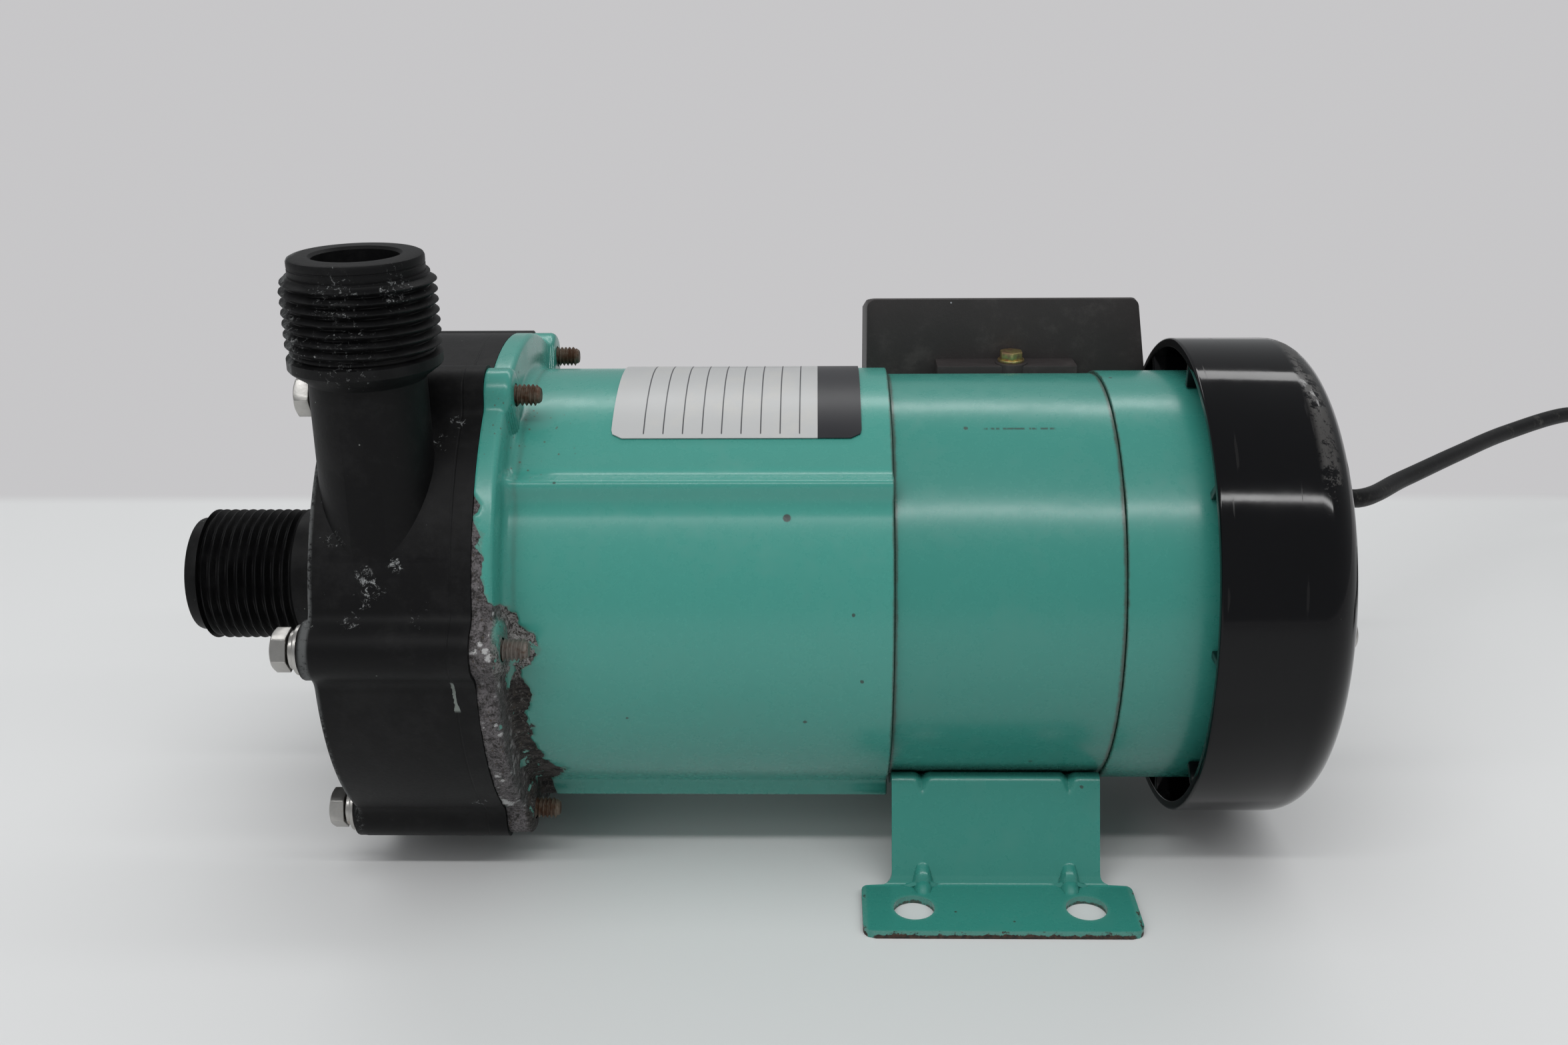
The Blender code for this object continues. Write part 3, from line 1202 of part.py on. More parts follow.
def rating_plate(parent):
    """Thin blank plate bent round the top of the bracket."""
    inner = BRACKET_RADIUS + SEAT_GAP
    outer = inner + PLATE_THICKNESS
    steps = 10
    span = PLATE_END_ANGLE - PLATE_START_ANGLE
    angles = [PLATE_START_ANGLE + span * step / steps for step in range(steps + 1)]
    outline = [around(outer, angle) for angle in angles]
    outline += [around(inner, angle) for angle in reversed(angles)]
    end = BRACKET_REAR - PLATE_SETBACK
    prism("rating_plate", outline, end - PLATE_LENGTH, end, parent, "plate_white")


def smooth_line(points, step):
    """Catmull-Rom curve through the points, read off about every step metres."""
    knots = [Vector(p) for p in points]
    knots = [2 * knots[0] - knots[1]] + knots + [2 * knots[-1] - knots[-2]]
    line = [knots[1]]
    for before, start, end, after in zip(knots, knots[1:], knots[2:], knots[3:]):
        pieces = max(1, round((end - start).length / step))
        for piece in range(1, pieces + 1):
            t = piece / pieces
            line.append(
                0.5
                * (
                    2 * start
                    + (end - before) * t
                    + (2 * before - 5 * start + 4 * end - after) * t**2
                    + (3 * start - 3 * end + after - before) * t**3
                )
            )
    return line


def lead_tube(name, points, parent):
    """A stretch of the lead as a bevelled curve with filled ends."""
    curve = bpy.data.curves.new(name, "CURVE")
    curve.dimensions = "3D"
    curve.bevel_depth = LEAD_RADIUS
    curve.bevel_resolution = 2
    curve.use_fill_caps = True
    line = smooth_line(points, 5 * LEAD_RADIUS)
    spline = curve.splines.new("POLY")
    spline.points.add(len(line) - 1)
    for point, place in zip(spline.points, line):
        point.co = (*place, 1.0)
    curve.materials.append(material("cable"))
    made = bpy.data.objects.new(name, curve)
    made.parent = parent
    bpy.context.scene.collection.objects.link(made)
    return made


def mains_lead(parent):
    """The free lead from the strain relief to its coil, the tail and the two-pin plug."""
    exit_point = Vector((BOX_REAR, LEAD_Y, SHAFT_HEIGHT + LEAD_HEIGHT))
    run_out = [exit_point + Vector(step) for step in LEAD_RUN_OUT]
    lead_tube("power_lead", (LEAD_START, *run_out, *LEAD_ROUTE), parent)
    lead_tube("power_lead_tail", TAIL_ROUTE, parent)
    low = SEAT_GAP / 2
    edge = LEAD_RADIUS
    profile = [
        (low, COIL_INNER_RADIUS),
        (low, COIL_OUTER_RADIUS - edge),
        (low + edge, COIL_OUTER_RADIUS),
        (COIL_HEIGHT - edge, COIL_OUTER_RADIUS),
        (COIL_HEIGHT, COIL_OUTER_RADIUS - edge),
        (COIL_HEIGHT, COIL_INNER_RADIUS),
    ]
    place = Matrix.Translation((*COIL_CENTRE, 0)) @ Matrix.Rotation(-math.pi / 2, 4, "Y")
    turned("lead_coil", profile, MIDDLE_ROUND, parent, "cable", place=place)
    plug(parent)


def plug(parent):
    """Flat two-pin plug at the end of the tail, lying on the floor."""
    end = Vector(TAIL_ROUTE[-1])
    way = (end - Vector(TAIL_ROUTE[-2])).normalized()
    way.z = 0.0
    way.normalize()
    centre = end + way * (SEAT_GAP + PLUG_LENGTH / 2)
    centre.z = PLUG_THICKNESS / 2 + SEAT_GAP / 2
    turn = Matrix.Translation(centre) @ Matrix.Rotation(math.atan2(way.y, way.x), 4, "Z")
    bm = bmesh.new()
    size = Matrix.Diagonal((PLUG_LENGTH, PLUG_WIDTH, PLUG_THICKNESS, 1.0))
    bmesh.ops.create_cube(bm, size=1.0, matrix=size)
    for vertex in bm.verts:
        if vertex.co.x < 0:
            vertex.co.y *= 0.5
    bmesh.ops.transform(bm, matrix=turn, verts=bm.verts)
    body = solid("plug_body", bm, parent, "cable", smooth=False)
    edge = body.modifiers.new("edge", "BEVEL")
    edge.width = PLUG_EDGE
    edge.segments = 2
    edge.limit_method = "ANGLE"
    for name, side in (("plug_pin_left", -1), ("plug_pin_right", 1)):
        offset = side * PLUG_PIN_SPACING / 2
        start = turn @ Vector((PLUG_LENGTH / 2 + SEAT_GAP, offset, 0))
        tip = turn @ Vector((PLUG_LENGTH / 2 + SEAT_GAP + PLUG_PIN_LENGTH, offset, 0))
        rod(name, start, tip, PLUG_PIN_RADIUS, SMALL_ROUND, parent, "steel")


def centre_on_origin(root, left_out):
    """Moves the whole pump so that the origin is under the middle of its box, lead left out."""
    bpy.context.view_layer.update()
    graph = bpy.context.evaluated_depsgraph_get()
    corners = []
    for obj in bpy.context.scene.objects:
        if obj.type == "MESH" and not obj.hide_render and obj.name not in left_out:
            read = obj.evaluated_get(graph)
            corners += [read.matrix_world @ Vector(corner) for corner in read.bound_box]
    for axis in (0, 1):
        values = [corner[axis] for corner in corners]
        root.location[axis] = -(min(values) + max(values)) / 2


def main():
    clear_scene()
    root = empty("pump_origin", (0, 0, 0))
    floor = empty("floor_pieces", (0, 0, 0), root)
    shaft_line = empty("shaft_line", (0, 0, SHAFT_HEIGHT), root)
    motor_axis = empty("rotor_axis", (0, 0, SHAFT_HEIGHT), root)
    impeller_axis = empty("impeller_axis", (0, 0, SHAFT_HEIGHT), root)
    front_casing(shaft_line)
    rear_casing(shaft_line)
    spindle_set(shaft_line)
    impeller(impeller_axis)
    impeller_magnet(impeller_axis)
    bracket(shaft_line)
    casing_bolts(shaft_line)
    drive_magnet(motor_axis)
    rotor(motor_axis)
    bearing("front_bearing", FRONT_BEARING_FRONT, shaft_line, motor_axis)
    bearing("rear_bearing", REAR_BEARING_FRONT, shaft_line, motor_axis)
    stator(shaft_line)
    rear_end_bracket(shaft_line)
    cooling_fan(motor_axis)
    fan_cover(shaft_line)
    base_foot(floor)
    terminal_box(shaft_line)
    strain_relief(shaft_line)
    rating_plate(shaft_line)
    mains_lead(floor)
    lead_pieces = ("lead_coil", "plug_body", "plug_pin_left", "plug_pin_right")
    centre_on_origin(root, lead_pieces)


main()
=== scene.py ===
"""Dresses a packed magnetic drive pump: mouldings, paint, fasteners, foot, lead and a plain studio.

Lengths are in metres. A station is a distance along the shaft from the motor's middle, with the inlet
on the minus side. An angle round the shaft counts from the side that faces the camera, upwards.
"""

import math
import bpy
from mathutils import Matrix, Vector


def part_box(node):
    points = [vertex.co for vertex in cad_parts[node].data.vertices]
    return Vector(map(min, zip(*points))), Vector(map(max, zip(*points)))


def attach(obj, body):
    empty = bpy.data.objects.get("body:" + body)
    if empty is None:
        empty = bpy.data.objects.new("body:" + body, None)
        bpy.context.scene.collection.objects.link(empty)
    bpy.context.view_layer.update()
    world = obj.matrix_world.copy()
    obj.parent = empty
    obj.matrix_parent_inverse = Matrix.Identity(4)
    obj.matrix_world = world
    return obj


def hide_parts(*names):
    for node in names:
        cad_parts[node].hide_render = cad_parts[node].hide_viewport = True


bl_info = {
    "name": "Magnetic drive pump",
    "version": (1, 0, 0),
    "blender": (4, 5, 0),
    "location": "View3D > Sidebar > Pump",
    "description": "Builds the visible pieces, the finishes and the studio of a magnetic drive pump",
    "category": "Object",
}

import bmesh
import bpy
import numpy as np
from bpy.props import FloatProperty, FloatVectorProperty, IntProperty, PointerProperty
from mathutils import Matrix, Vector, noise

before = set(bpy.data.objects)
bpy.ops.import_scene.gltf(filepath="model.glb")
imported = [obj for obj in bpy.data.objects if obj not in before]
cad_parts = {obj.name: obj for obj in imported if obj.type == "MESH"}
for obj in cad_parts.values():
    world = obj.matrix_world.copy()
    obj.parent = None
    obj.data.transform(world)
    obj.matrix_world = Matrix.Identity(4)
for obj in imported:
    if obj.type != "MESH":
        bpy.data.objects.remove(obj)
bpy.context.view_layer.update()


def middle(node):
    low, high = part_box(node)
    return (low + high) / 2


AXLE = middle("stator_housing")
ON_SHAFT = Matrix.Translation(AXLE)


def reach(node, axis):
    """Lowest and highest station of a node along an axis, counted from the motor's middle."""
    low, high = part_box(node)
    return low[axis] - AXLE[axis], high[axis] - AXLE[axis]


# Stations and places taken from the frame
GAP = 0.0003
WELD = 0.000004
FLOOR = -AXLE.z
INLET_END, CASING_REAR = reach("front_casing", 0)
OUTLET_TOP = reach("front_casing", 2)[1]
BRACKET_FRONT, BRACKET_REAR = reach("bracket", 0)
HOUSING_FRONT, HOUSING_REAR = reach("stator_housing", 0)
END_FRONT, POST_END = reach("rear_end_bracket", 0)
COVER_FRONT, COVER_REAR = reach("fan_cover", 0)
BOSS_FRONT = reach("casing_washer_1", 0)[1] + GAP
BOLT_HEAD_FRONT, BOLT_TAIL = reach("casing_bolt_1", 0)
BOX_FRONT, BOX_REAR = reach("terminal_box", 0)
BOX_LUG_NEAR, BOX_FAR = reach("terminal_box", 1)
BOX_BOTTOM, BOX_TOP = reach("terminal_box", 2)
HOUSING_RADIUS = reach("stator_housing", 2)[1]
COVER_RADIUS = reach("fan_cover", 2)[1]
BOLT_ANGLE = math.radians(5.5)
BOLT_COUNT = 6
BOLTS = range(1, BOLT_COUNT + 1)
COVER_SCREWS = ("fan_cover_screw_1", "fan_cover_screw_2", "fan_cover_screw_3")
CORD_NODES = ("power_lead", "power_lead_tail", "lead_coil")

# How far a cutting tool reaches past what it cuts
BEYOND = 0.001

# Shapes that the frame's boxes don't give
CASING_FRONT = BOSS_FRONT + 0.0012
CASING_FACE = 0.0490
CHAMBER = 0.0410
CHAMBER_FRONT = CASING_FRONT + 0.0040
RECESS = 0.0456
BOLT_CIRCLE = 0.0476
OUTLET_STATION = CASING_FRONT + 0.0111
OUTLET_SIDE = -0.0345
OUTLET_NECK = 0.0102
OUTLET_BORE = 0.0074
INLET_BORE = 0.0085
INLET_NECK = 0.0130
COLLAR = 0.01150
COLLAR_LENGTH = 0.0030
BODY_RADIUS = 0.0418
FLANGE_REAR = BRACKET_FRONT + 0.0036
LUG_REAR = BRACKET_FRONT + 0.0047
LUG_RADIUS = 0.0050
BOSS_RADIUS = 0.0055
FOOT_CORNER = 0.0024
UPPER_RIB = (0.0328, 0.0308)
LOWER_RIB = (0.0226, 0.0391)
END_RADIUS = 0.0411
END_REAR = END_FRONT + 0.0262
SCREW_HOLE = 0.0018
FOOT_HOLES = (0.0163, 0.04345)
FOOT_BEND = 0.0352

# The camera, in the photograph's place
LENS = 35.75
CAMERA_PLACE = (-0.03454, -0.29599, 0.17208)
CAMERA_PITCH = 20.14
CAMERA_YAW = -1.31
CAMERA_ROLL = -0.52

# A row of short scratches on the housing: station and side
SCRATCH = (0.0029, -0.0183)

# The backdrop, which begins behind the pump
WALL_LINE = 0.197
WALL_COLOUR = (0.572, 0.567, 0.577)
SEEN_BY = ("Is Camera Ray", "Is Glossy Ray", "Is Transmission Ray")

# The lead, from its strain relief over the floor into its coil, then to its plug
LEAD_RADIUS = 0.00225
LEAD_ROUTE = (
    (0.0660, 0.0543, 0.0527),
    (0.0780, 0.0560, 0.0513),
    (0.0954, 0.0605, 0.0473),
    (0.1149, 0.0845, 0.0441),
    (0.1389, 0.1120, 0.0418),
    (0.1645, 0.1400, 0.0395),
    (0.1944, 0.1660, 0.0374),
    (0.2130, 0.1770, 0.0320),
    (0.2300, 0.1800, 0.0232),
    (0.2430, 0.1750, 0.0138),
    (0.2505, 0.1640, 0.0068),
    (0.2532, 0.1510, 0.0033),
    (0.2531, 0.1400, 0.0025),
    (0.2526, 0.1306, 0.0024),
)
TAIL_ROUTE = (
    (0.2526, 0.0934, 0.0058),
    (0.2524, 0.0850, 0.0048),
    (0.2507, 0.0760, 0.0056),
    (0.2475, 0.0670, 0.0063),
)
COIL_CENTRE = (0.2208, 0.1120)
COIL_RADII = (0.01805, 0.03175)
COIL_TURNS = 6
LAYER = 0.0046
COIL_FLOOR = 0.0024
CROSSING = 0.3


def length(name, description, default):
    return FloatProperty(name=name, description=description, default=default, unit="LENGTH")


class PumpSizes(bpy.types.PropertyGroup):
    thread_radius: length("Thread radius", "Outer radius of both port threads", 0.01322)
    thread_depth: length("Thread depth", "From crest to root of the port threads", 0.00116)
    thread_pitch: length("Thread pitch", "Distance from crest to crest", 0.001814)
    bolt_radius: length("Bolt radius", "Outer radius of the casing bolts' thread", 0.0020)
    bolt_flats: length("Across flats", "Width of the casing bolts' heads", 0.0070)
    cover_wall: length("Cover wall", "Wall of the fan cover", 0.0018)
    cover_slots: IntProperty(
        name="Air slots", description="Slots in the fan cover's rear face", default=10, min=4
    )
    foot_sheet: length("Foot sheet", "Thickness of the foot's pressed steel", 0.0016)
    plate_corner: length("Plate corner", "Corner radius of the blank plate", 0.0020)


def colour(name, description, default):
    return FloatVectorProperty(
        name=name, description=description, default=default, subtype="COLOR", min=0.0, max=1.0
    )


class PumpColours(bpy.types.PropertyGroup):
    paint: colour("Paint", "Sea green of the motor and its bracket", (0.046, 0.262, 0.216))
    housing: colour("Housing", "The rolled housing's slightly deeper green", (0.034, 0.222, 0.182))
    foot_paint: colour("Foot paint", "Green of the pressed foot", (0.033, 0.225, 0.184))
    casing: colour("Casing", "Matt black of the pump casing", (0.0030, 0.0030, 0.0033))
    cover: colour("Fan cover", "Glossy black of the fan cover", (0.0020, 0.0020, 0.0026))
    box: colour("Terminal box", "Satin black of the terminal box", (0.0335, 0.0295, 0.0295))
    steel: colour("Steel", "Bright steel of bolts and washers", (0.46, 0.45, 0.43))
    rust: colour("Rust", "Brown rust on studs and cut edges", (0.075, 0.035, 0.018))
    zinc: colour("Zinc", "Yellow passivated screw", (0.62, 0.52, 0.22))
    lead: colour("Lead", "Black sheath of the lead", (0.0045, 0.0045, 0.0048))
    plate: colour("Plate", "Pale foil of the blank plate", (0.42, 0.425, 0.425))
    floor: colour("Floor", "Pale floor of the studio", (0.66, 0.665, 0.665))


# Modelling by hand


def only(obj):
    bpy.ops.object.select_all(action="DESELECT")
    obj.select_set(True)
    bpy.context.view_layer.objects.active = obj


def edit(obj, kind="VERT"):
    only(obj)
    bpy.ops.object.mode_set(mode="EDIT")
    bpy.ops.mesh.select_mode(type=kind)
    bpy.ops.mesh.select_all(action="SELECT")


def leave():
    bpy.ops.object.mode_set(mode="OBJECT")


def choose(obj, test, kind="faces"):
    """In edit mode, selects only the faces or edges for which the test holds."""
    bpy.ops.mesh.select_all(action="DESELECT")
    mesh = bmesh.from_edit_mesh(obj.data)
    for item in getattr(mesh, kind):
        if test(item):
            item.select_set(True)
    bmesh.update_edit_mesh(obj.data)


def point_out(obj):
    edit(obj)
    bpy.ops.mesh.remove_doubles(threshold=WELD)
    bpy.ops.mesh.normals_make_consistent(inside=False)
    leave()


def smooth(obj, degrees=32):
    only(obj)
    bpy.ops.object.shade_smooth_by_angle(angle=math.radians(degrees))
    return obj


def drawn(name, points, filled=False):
    """A circle whose corners are pulled to the points of an outline."""
    bpy.ops.object.select_all(action="DESELECT")
    bpy.ops.mesh.primitive_circle_add(vertices=len(points), fill_type="NGON" if filled else "NOTHING")
    obj = bpy.context.object
    obj.name = name
    for corner, point in zip(obj.data.vertices, points):
        corner.co = point
    return obj


def turned(name, profile, steps=96, shape=None, place=ON_SHAFT, closed=True):
    """Spins a profile of (station, radius) points about the shaft, then shapes it and sets it in place."""
    obj = drawn(name, [(along, 0.0, radius) for along, radius in profile])
    edit(obj, "EDGE")
    if not closed:
        ends = {0, len(profile) - 1}
        choose(obj, lambda edge: {v.index for v in edge.verts} == ends, "edges")
        bpy.ops.mesh.delete(type="EDGE")
        bpy.ops.mesh.select_all(action="SELECT")
    bpy.ops.mesh.spin(steps=steps, angle=math.tau, center=(0, 0, 0), axis=(1, 0, 0))
    leave()
    if shape:
        pull(obj, shape)
    obj.data.transform(place)
    point_out(obj)
    return smooth(obj)


def spots_of(mesh):
    """The mesh's points, one row of x, y and z for each."""
    spots = np.empty(len(mesh.vertices) * 3)
    mesh.vertices.foreach_get("co", spots)
    return spots.reshape(-1, 3)


def pull(obj, shape):
    """Moves each point to the distance from the shaft that the shape gives."""
    spots = spots_of(obj.data)
    radius = np.hypot(spots[:, 1], spots[:, 2])
    angle = np.arctan2(spots[:, 2], -spots[:, 1])
    wanted = shape(spots[:, 0], radius, angle)
    spots[:, 1:] *= (wanted / np.maximum(radius, WELD))[:, None]
    obj.data.vertices.foreach_set("co", spots.ravel())


def extruded(name, points, along, place=ON_SHAFT):
    obj = drawn(name, points, filled=True)
    edit(obj, "FACE")
    bpy.ops.mesh.extrude_region_move(TRANSFORM_OT_translate={"value": along})
    leave()
    obj.data.transform(place)
    point_out(obj)
    return obj


def block(name, low, high, place=ON_SHAFT):
    low = Vector(low)
    high = Vector(high)
    bpy.ops.object.select_all(action="DESELECT")
    bpy.ops.mesh.primitive_cube_add(size=1)
    obj = bpy.context.object
    obj.name = name
    obj.data.transform(place @ Matrix.Translation((low + high) / 2) @ Matrix.Diagonal((*(high - low), 1)))
    return obj


def rod(name, start, end, radius, steps=32, place=ON_SHAFT):
    start = Vector(start)
    way = Vector(end) - start
    bpy.ops.object.select_all(action="DESELECT")
    bpy.ops.mesh.primitive_cylinder_add(vertices=steps, radius=radius, depth=way.length)
    obj = bpy.context.object
    obj.name = name
    turn = way.to_track_quat("Z", "Y").to_matrix().to_4x4()
    obj.data.transform(place @ Matrix.Translation(start + way / 2) @ turn)
    return obj


def finish(obj, kind, **settings):
    """Adds a modifier with its settings and applies it."""
    only(obj)
    step = obj.modifiers.new(kind.title(), kind)
    for key, value in settings.items():
        setattr(step, key, value)
    bpy.ops.object.modifier_apply(modifier=step.name)
    return obj


def bevel(obj, width, segments=3, degrees=40):
    return finish(
        obj,
        "BEVEL",
        width=width,
        segments=segments,
        limit_method="ANGLE",
        angle_limit=math.radians(degrees),
        use_clamp_overlap=True,
    )


def joined(pieces):
    bpy.ops.object.select_all(action="DESELECT")
    for piece in pieces:
        piece.select_set(True)
    bpy.context.view_layer.objects.active = pieces[0]
    bpy.ops.object.join()
    return pieces[0]


def boolean(obj, tool, operation):
    finish(obj, "BOOLEAN", operation=operation, solver="EXACT", object=tool)
    bpy.data.objects.remove(tool, do_unlink=True)
    return obj


def weld(obj, tool):
    return boolean(obj, tool, "UNION")


def cut(obj, tool):
    return boolean(obj, tool, "DIFFERENCE")


def rounded(corners, pieces=5, closed=True):
    """Outline through (a, b, radius) corners, each swung into an arc of its radius."""
    line = []
    count = len(corners)
    for index, (a, b, radius) in enumerate(corners):
        here = Vector((a, b))
        if radius == 0 or (not closed and index in (0, count - 1)):
            line.append(tuple(here))
            continue
        back = (Vector(corners[index - 1][:2]) - here).normalized()
        on = (Vector(corners[(index + 1) % count][:2]) - here).normalized()
        half = back.angle(on) / 2
        centre = here + (back + on).normalized() * radius / math.sin(half)
        start = here + back * radius / math.tan(half) - centre
        end = here + on * radius / math.tan(half) - centre
        sweep = start.angle_signed(end)
        for piece in range(pieces + 1):
            turn = -sweep * piece / pieces
            arm = Matrix.Rotation(turn, 2) @ start
            line.append(tuple(centre + arm))
    return line


def around(radius, angle, station=0.0):
    return Vector((station, -radius * math.cos(angle), radius * math.sin(angle)))


def spaced(count, first=0.0):
    return [first + math.tau * index / count for index in range(count)]


def beside(centre):
    """Places what was modelled on the shaft on a line beside it."""
    return ON_SHAFT @ Matrix.Translation((0, centre.y, centre.z))


def stood_up(station, side):
    """Places what was modelled along the shaft on an upright line."""
    return ON_SHAFT @ Matrix.Translation((station, side, 0)) @ Matrix.Rotation(-math.pi / 2, 4, "Y")


def lathed(name, corners, pieces, steps, place=ON_SHAFT):
    """A solid from an outline with rounded corners that starts and ends on its axis."""
    return turned(name, rounded(corners, pieces, False), steps, place=place, closed=False)


def spoke(name, low, high, edge, angle):
    """Block with rounded edges, turned about the shaft from the side that faces the camera."""
    piece = block(name, low, high, Matrix())
    bevel(piece, edge, 2)
    piece.data.transform(ON_SHAFT @ Matrix.Rotation(-angle, 4, "X"))
    return piece


def at_bolts(name, first, last, radius, steps=24):
    """Rods between two stations on the casing bolts' axes."""
    rods = []
    for angle in spaced(BOLT_COUNT, BOLT_ANGLE):
        start = around(BOLT_CIRCLE, angle, first)
        end = around(BOLT_CIRCLE, angle, last)
        rods.append(rod(name, start, end, radius, steps))
    return rods


def at_screws(name, first, last, radius, steps):
    """Rods between two stations on the axes of the fan cover's screws."""
    rods = []
    for node in COVER_SCREWS:
        centre = middle(node) - AXLE
        rods.append(rod(name, (first, centre.y, centre.z), (last, centre.y, centre.z), radius, steps))
    return rods


def sheet(name, columns, rows, shape):
    """A grid whose corners, from -1 to 1 across and along, go where the shape puts them."""
    bpy.ops.object.select_all(action="DESELECT")
    bpy.ops.mesh.primitive_grid_add(x_subdivisions=columns, y_subdivisions=rows, size=2)
    obj = bpy.context.object
    obj.name = name
    for vertex in obj.data.vertices:
        vertex.co = shape(vertex.co.x, vertex.co.y)
    return obj


def dress(obj, finish_name, slot, *nodes):
    """Gives a finished piece its material and body, and hides the frame's nodes that it stands for. The slot
    is not used.
    """
    obj.data.materials.clear()
    obj.data.materials.append(material(finish_name))
    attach(obj, "pump_body")
    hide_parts(*nodes)
    return obj


# Distances to the castings' surfaces, for their soft edges and fillets


def soft_union(first, second, width):
    overlap = np.maximum(width - np.abs(first - second), 0) / width
    return np.minimum(first, second) - overlap**2 * width / 4


def round_slab(across, along, edge):
    """Distance to a quadrant that is filled below zero both ways and has a round corner."""
    a = across + edge
    b = along + edge
    outside = np.hypot(np.maximum(a, 0), np.maximum(b, 0))
    return outside + np.minimum(np.maximum(a, b), 0) - edge


def to_lobes(y, z, lobe):
    """Distance to the nearest of the round lobes on the bolt circle."""
    centres = [around(BOLT_CIRCLE, angle) for angle in spaced(BOLT_COUNT, BOLT_ANGLE)]
    return np.min([np.hypot(y - centre.y, z - centre.z) for centre in centres], axis=0) - lobe


def outermost(distance, start=0.056, rounds=90, pace=0.85):
    """Walks in from outside along each ray until the distance is zero."""
    radius = np.full_like(distance.along, start)
    for _ in range(rounds):
        radius -= pace * distance(radius)
    return radius


class CastBracket:
    """The bracket's outer surface: round body, square ribs, flange and lugs, run together by fillets."""

    UPPER_EDGE = 0.0010
    LOWER_EDGE = 0.0012
    FLANGE_EDGE = 0.0013
    LUG_EDGE = 0.0014
    RIB_FILLET = 0.0012
    LUG_FILLET = 0.0016
    FLANGE_FILLET = 0.0026

    def __init__(self, along, angle):
        self.along = along
        self.cos = np.cos(angle)
        self.sin = np.sin(angle)

    def __call__(self, radius):
        y = np.abs(radius * self.cos)
        z = radius * self.sin
        upper = round_slab(y - UPPER_RIB[0], z - UPPER_RIB[1], self.UPPER_EDGE)
        lower = round_slab(y - LOWER_RIB[0], -z - LOWER_RIB[1], self.LOWER_EDGE)
        body = soft_union(radius - BODY_RADIUS, np.where(z > 0, upper, lower), self.RIB_FILLET)
        flange = round_slab(radius - CASING_FACE, self.along - FLANGE_REAR, self.FLANGE_EDGE)
        gaps = to_lobes(-radius * self.cos, z, LUG_RADIUS)
        lugs = round_slab(gaps, self.along - LUG_REAR, self.LUG_EDGE)
        return soft_union(body, soft_union(flange, lugs, self.LUG_FILLET), self.FLANGE_FILLET)


class MouldedRim:
    """The casing's round rim with a boss for each bolt."""

    BOSS_FILLET = 0.0022

    def __init__(self, angle):
        self.along = angle
        self.cos = np.cos(angle)
        self.sin = np.sin(angle)

    def __call__(self, radius):
        gaps = to_lobes(-radius * self.cos, radius * self.sin, BOSS_RADIUS)
        return soft_union(radius - CASING_FACE, gaps, self.BOSS_FILLET)


# Shares of a thread's pitch or depth: its flanks' slope, the flat at its root and its run-out
THREAD_SLOPE = 1.25
THREAD_ROOT = 0.12
THREAD_RUN_OUT = 0.6


def thread(start, end, crest, depth, pitch):
    """Helical ridges between two stations, which rise and fade at the ends."""

    def shape(along, radius, angle):
        turn = along / pitch - angle / math.tau
        ridge = np.clip(THREAD_SLOPE * (1 - np.abs(2 * (turn % 1.0) - 1)) - THREAD_ROOT, 0, 1)
        run_out = THREAD_RUN_OUT * pitch
        rise = np.clip((along - start) / run_out, 0, 1) * np.clip((end - along) / run_out, 0, 1)
        threaded = (along > start) & (along < end) & (radius > crest - 2 * depth)
        return np.where(threaded, crest - depth + depth * ridge * rise, radius)

    return shape


def thread_line(start, end, crest, pitch, samples=10):
    count = max(2, round((end - start) / pitch * samples))
    return [(start + (end - start) * step / count, crest) for step in range(count + 1)]


# Materials


class Wire:
    """A socket of a material's node tree that can be used in sums."""

    def __init__(self, sheet, socket):
        self.sheet = sheet
        self.socket = socket

    def maths(self, operation, first, second=0.0):
        return self.sheet.node("ShaderNodeMath", {"operation": operation}, {0: first, 1: second})

    def __add__(self, other):
        return self.maths("ADD", self, other)

    __radd__ = __add__

    def __mul__(self, other):
        return self.maths("MULTIPLY", self, other)

    __rmul__ = __mul__

    def __sub__(self, other):
        return self.maths("SUBTRACT", self, other)

    def __rsub__(self, other):
        return self.maths("SUBTRACT", other, self)

    def __truediv__(self, other):
        return self.maths("DIVIDE", self, other)

    def __abs__(self):
        return self.maths("ABSOLUTE", self)

    def most(self, other):
        return self.maths("MAXIMUM", self, other)

    def least(self, other):
        return self.maths("MINIMUM", self, other)

    def power(self, other):
        return self.maths("POWER", self, other)

    def above(self, edge, width):
        """0 below the edge and 1 past it, over a soft width."""
        return self.sheet.node(
            "ShaderNodeMapRange",
            {"interpolation_type": "SMOOTHSTEP"},
            {"Value": self, "From Min": edge - width / 2, "From Max": edge + width / 2},
        )

    def below(self, edge, width):
        return 1 - self.above(edge, width)

    def within(self, low, high, width):
        return self.above(low, width) * self.below(high, width)

    def at(self, place, reach_of, width):
        """1 within a distance of a place, over a soft width."""
        return abs(self - place).below(reach_of, width)

    def hypot(self, other):
        return (self.power(2.0) + other.power(2.0)).power(0.5)


COAT = 0.16
COAT_ROUGHNESS = 0.17


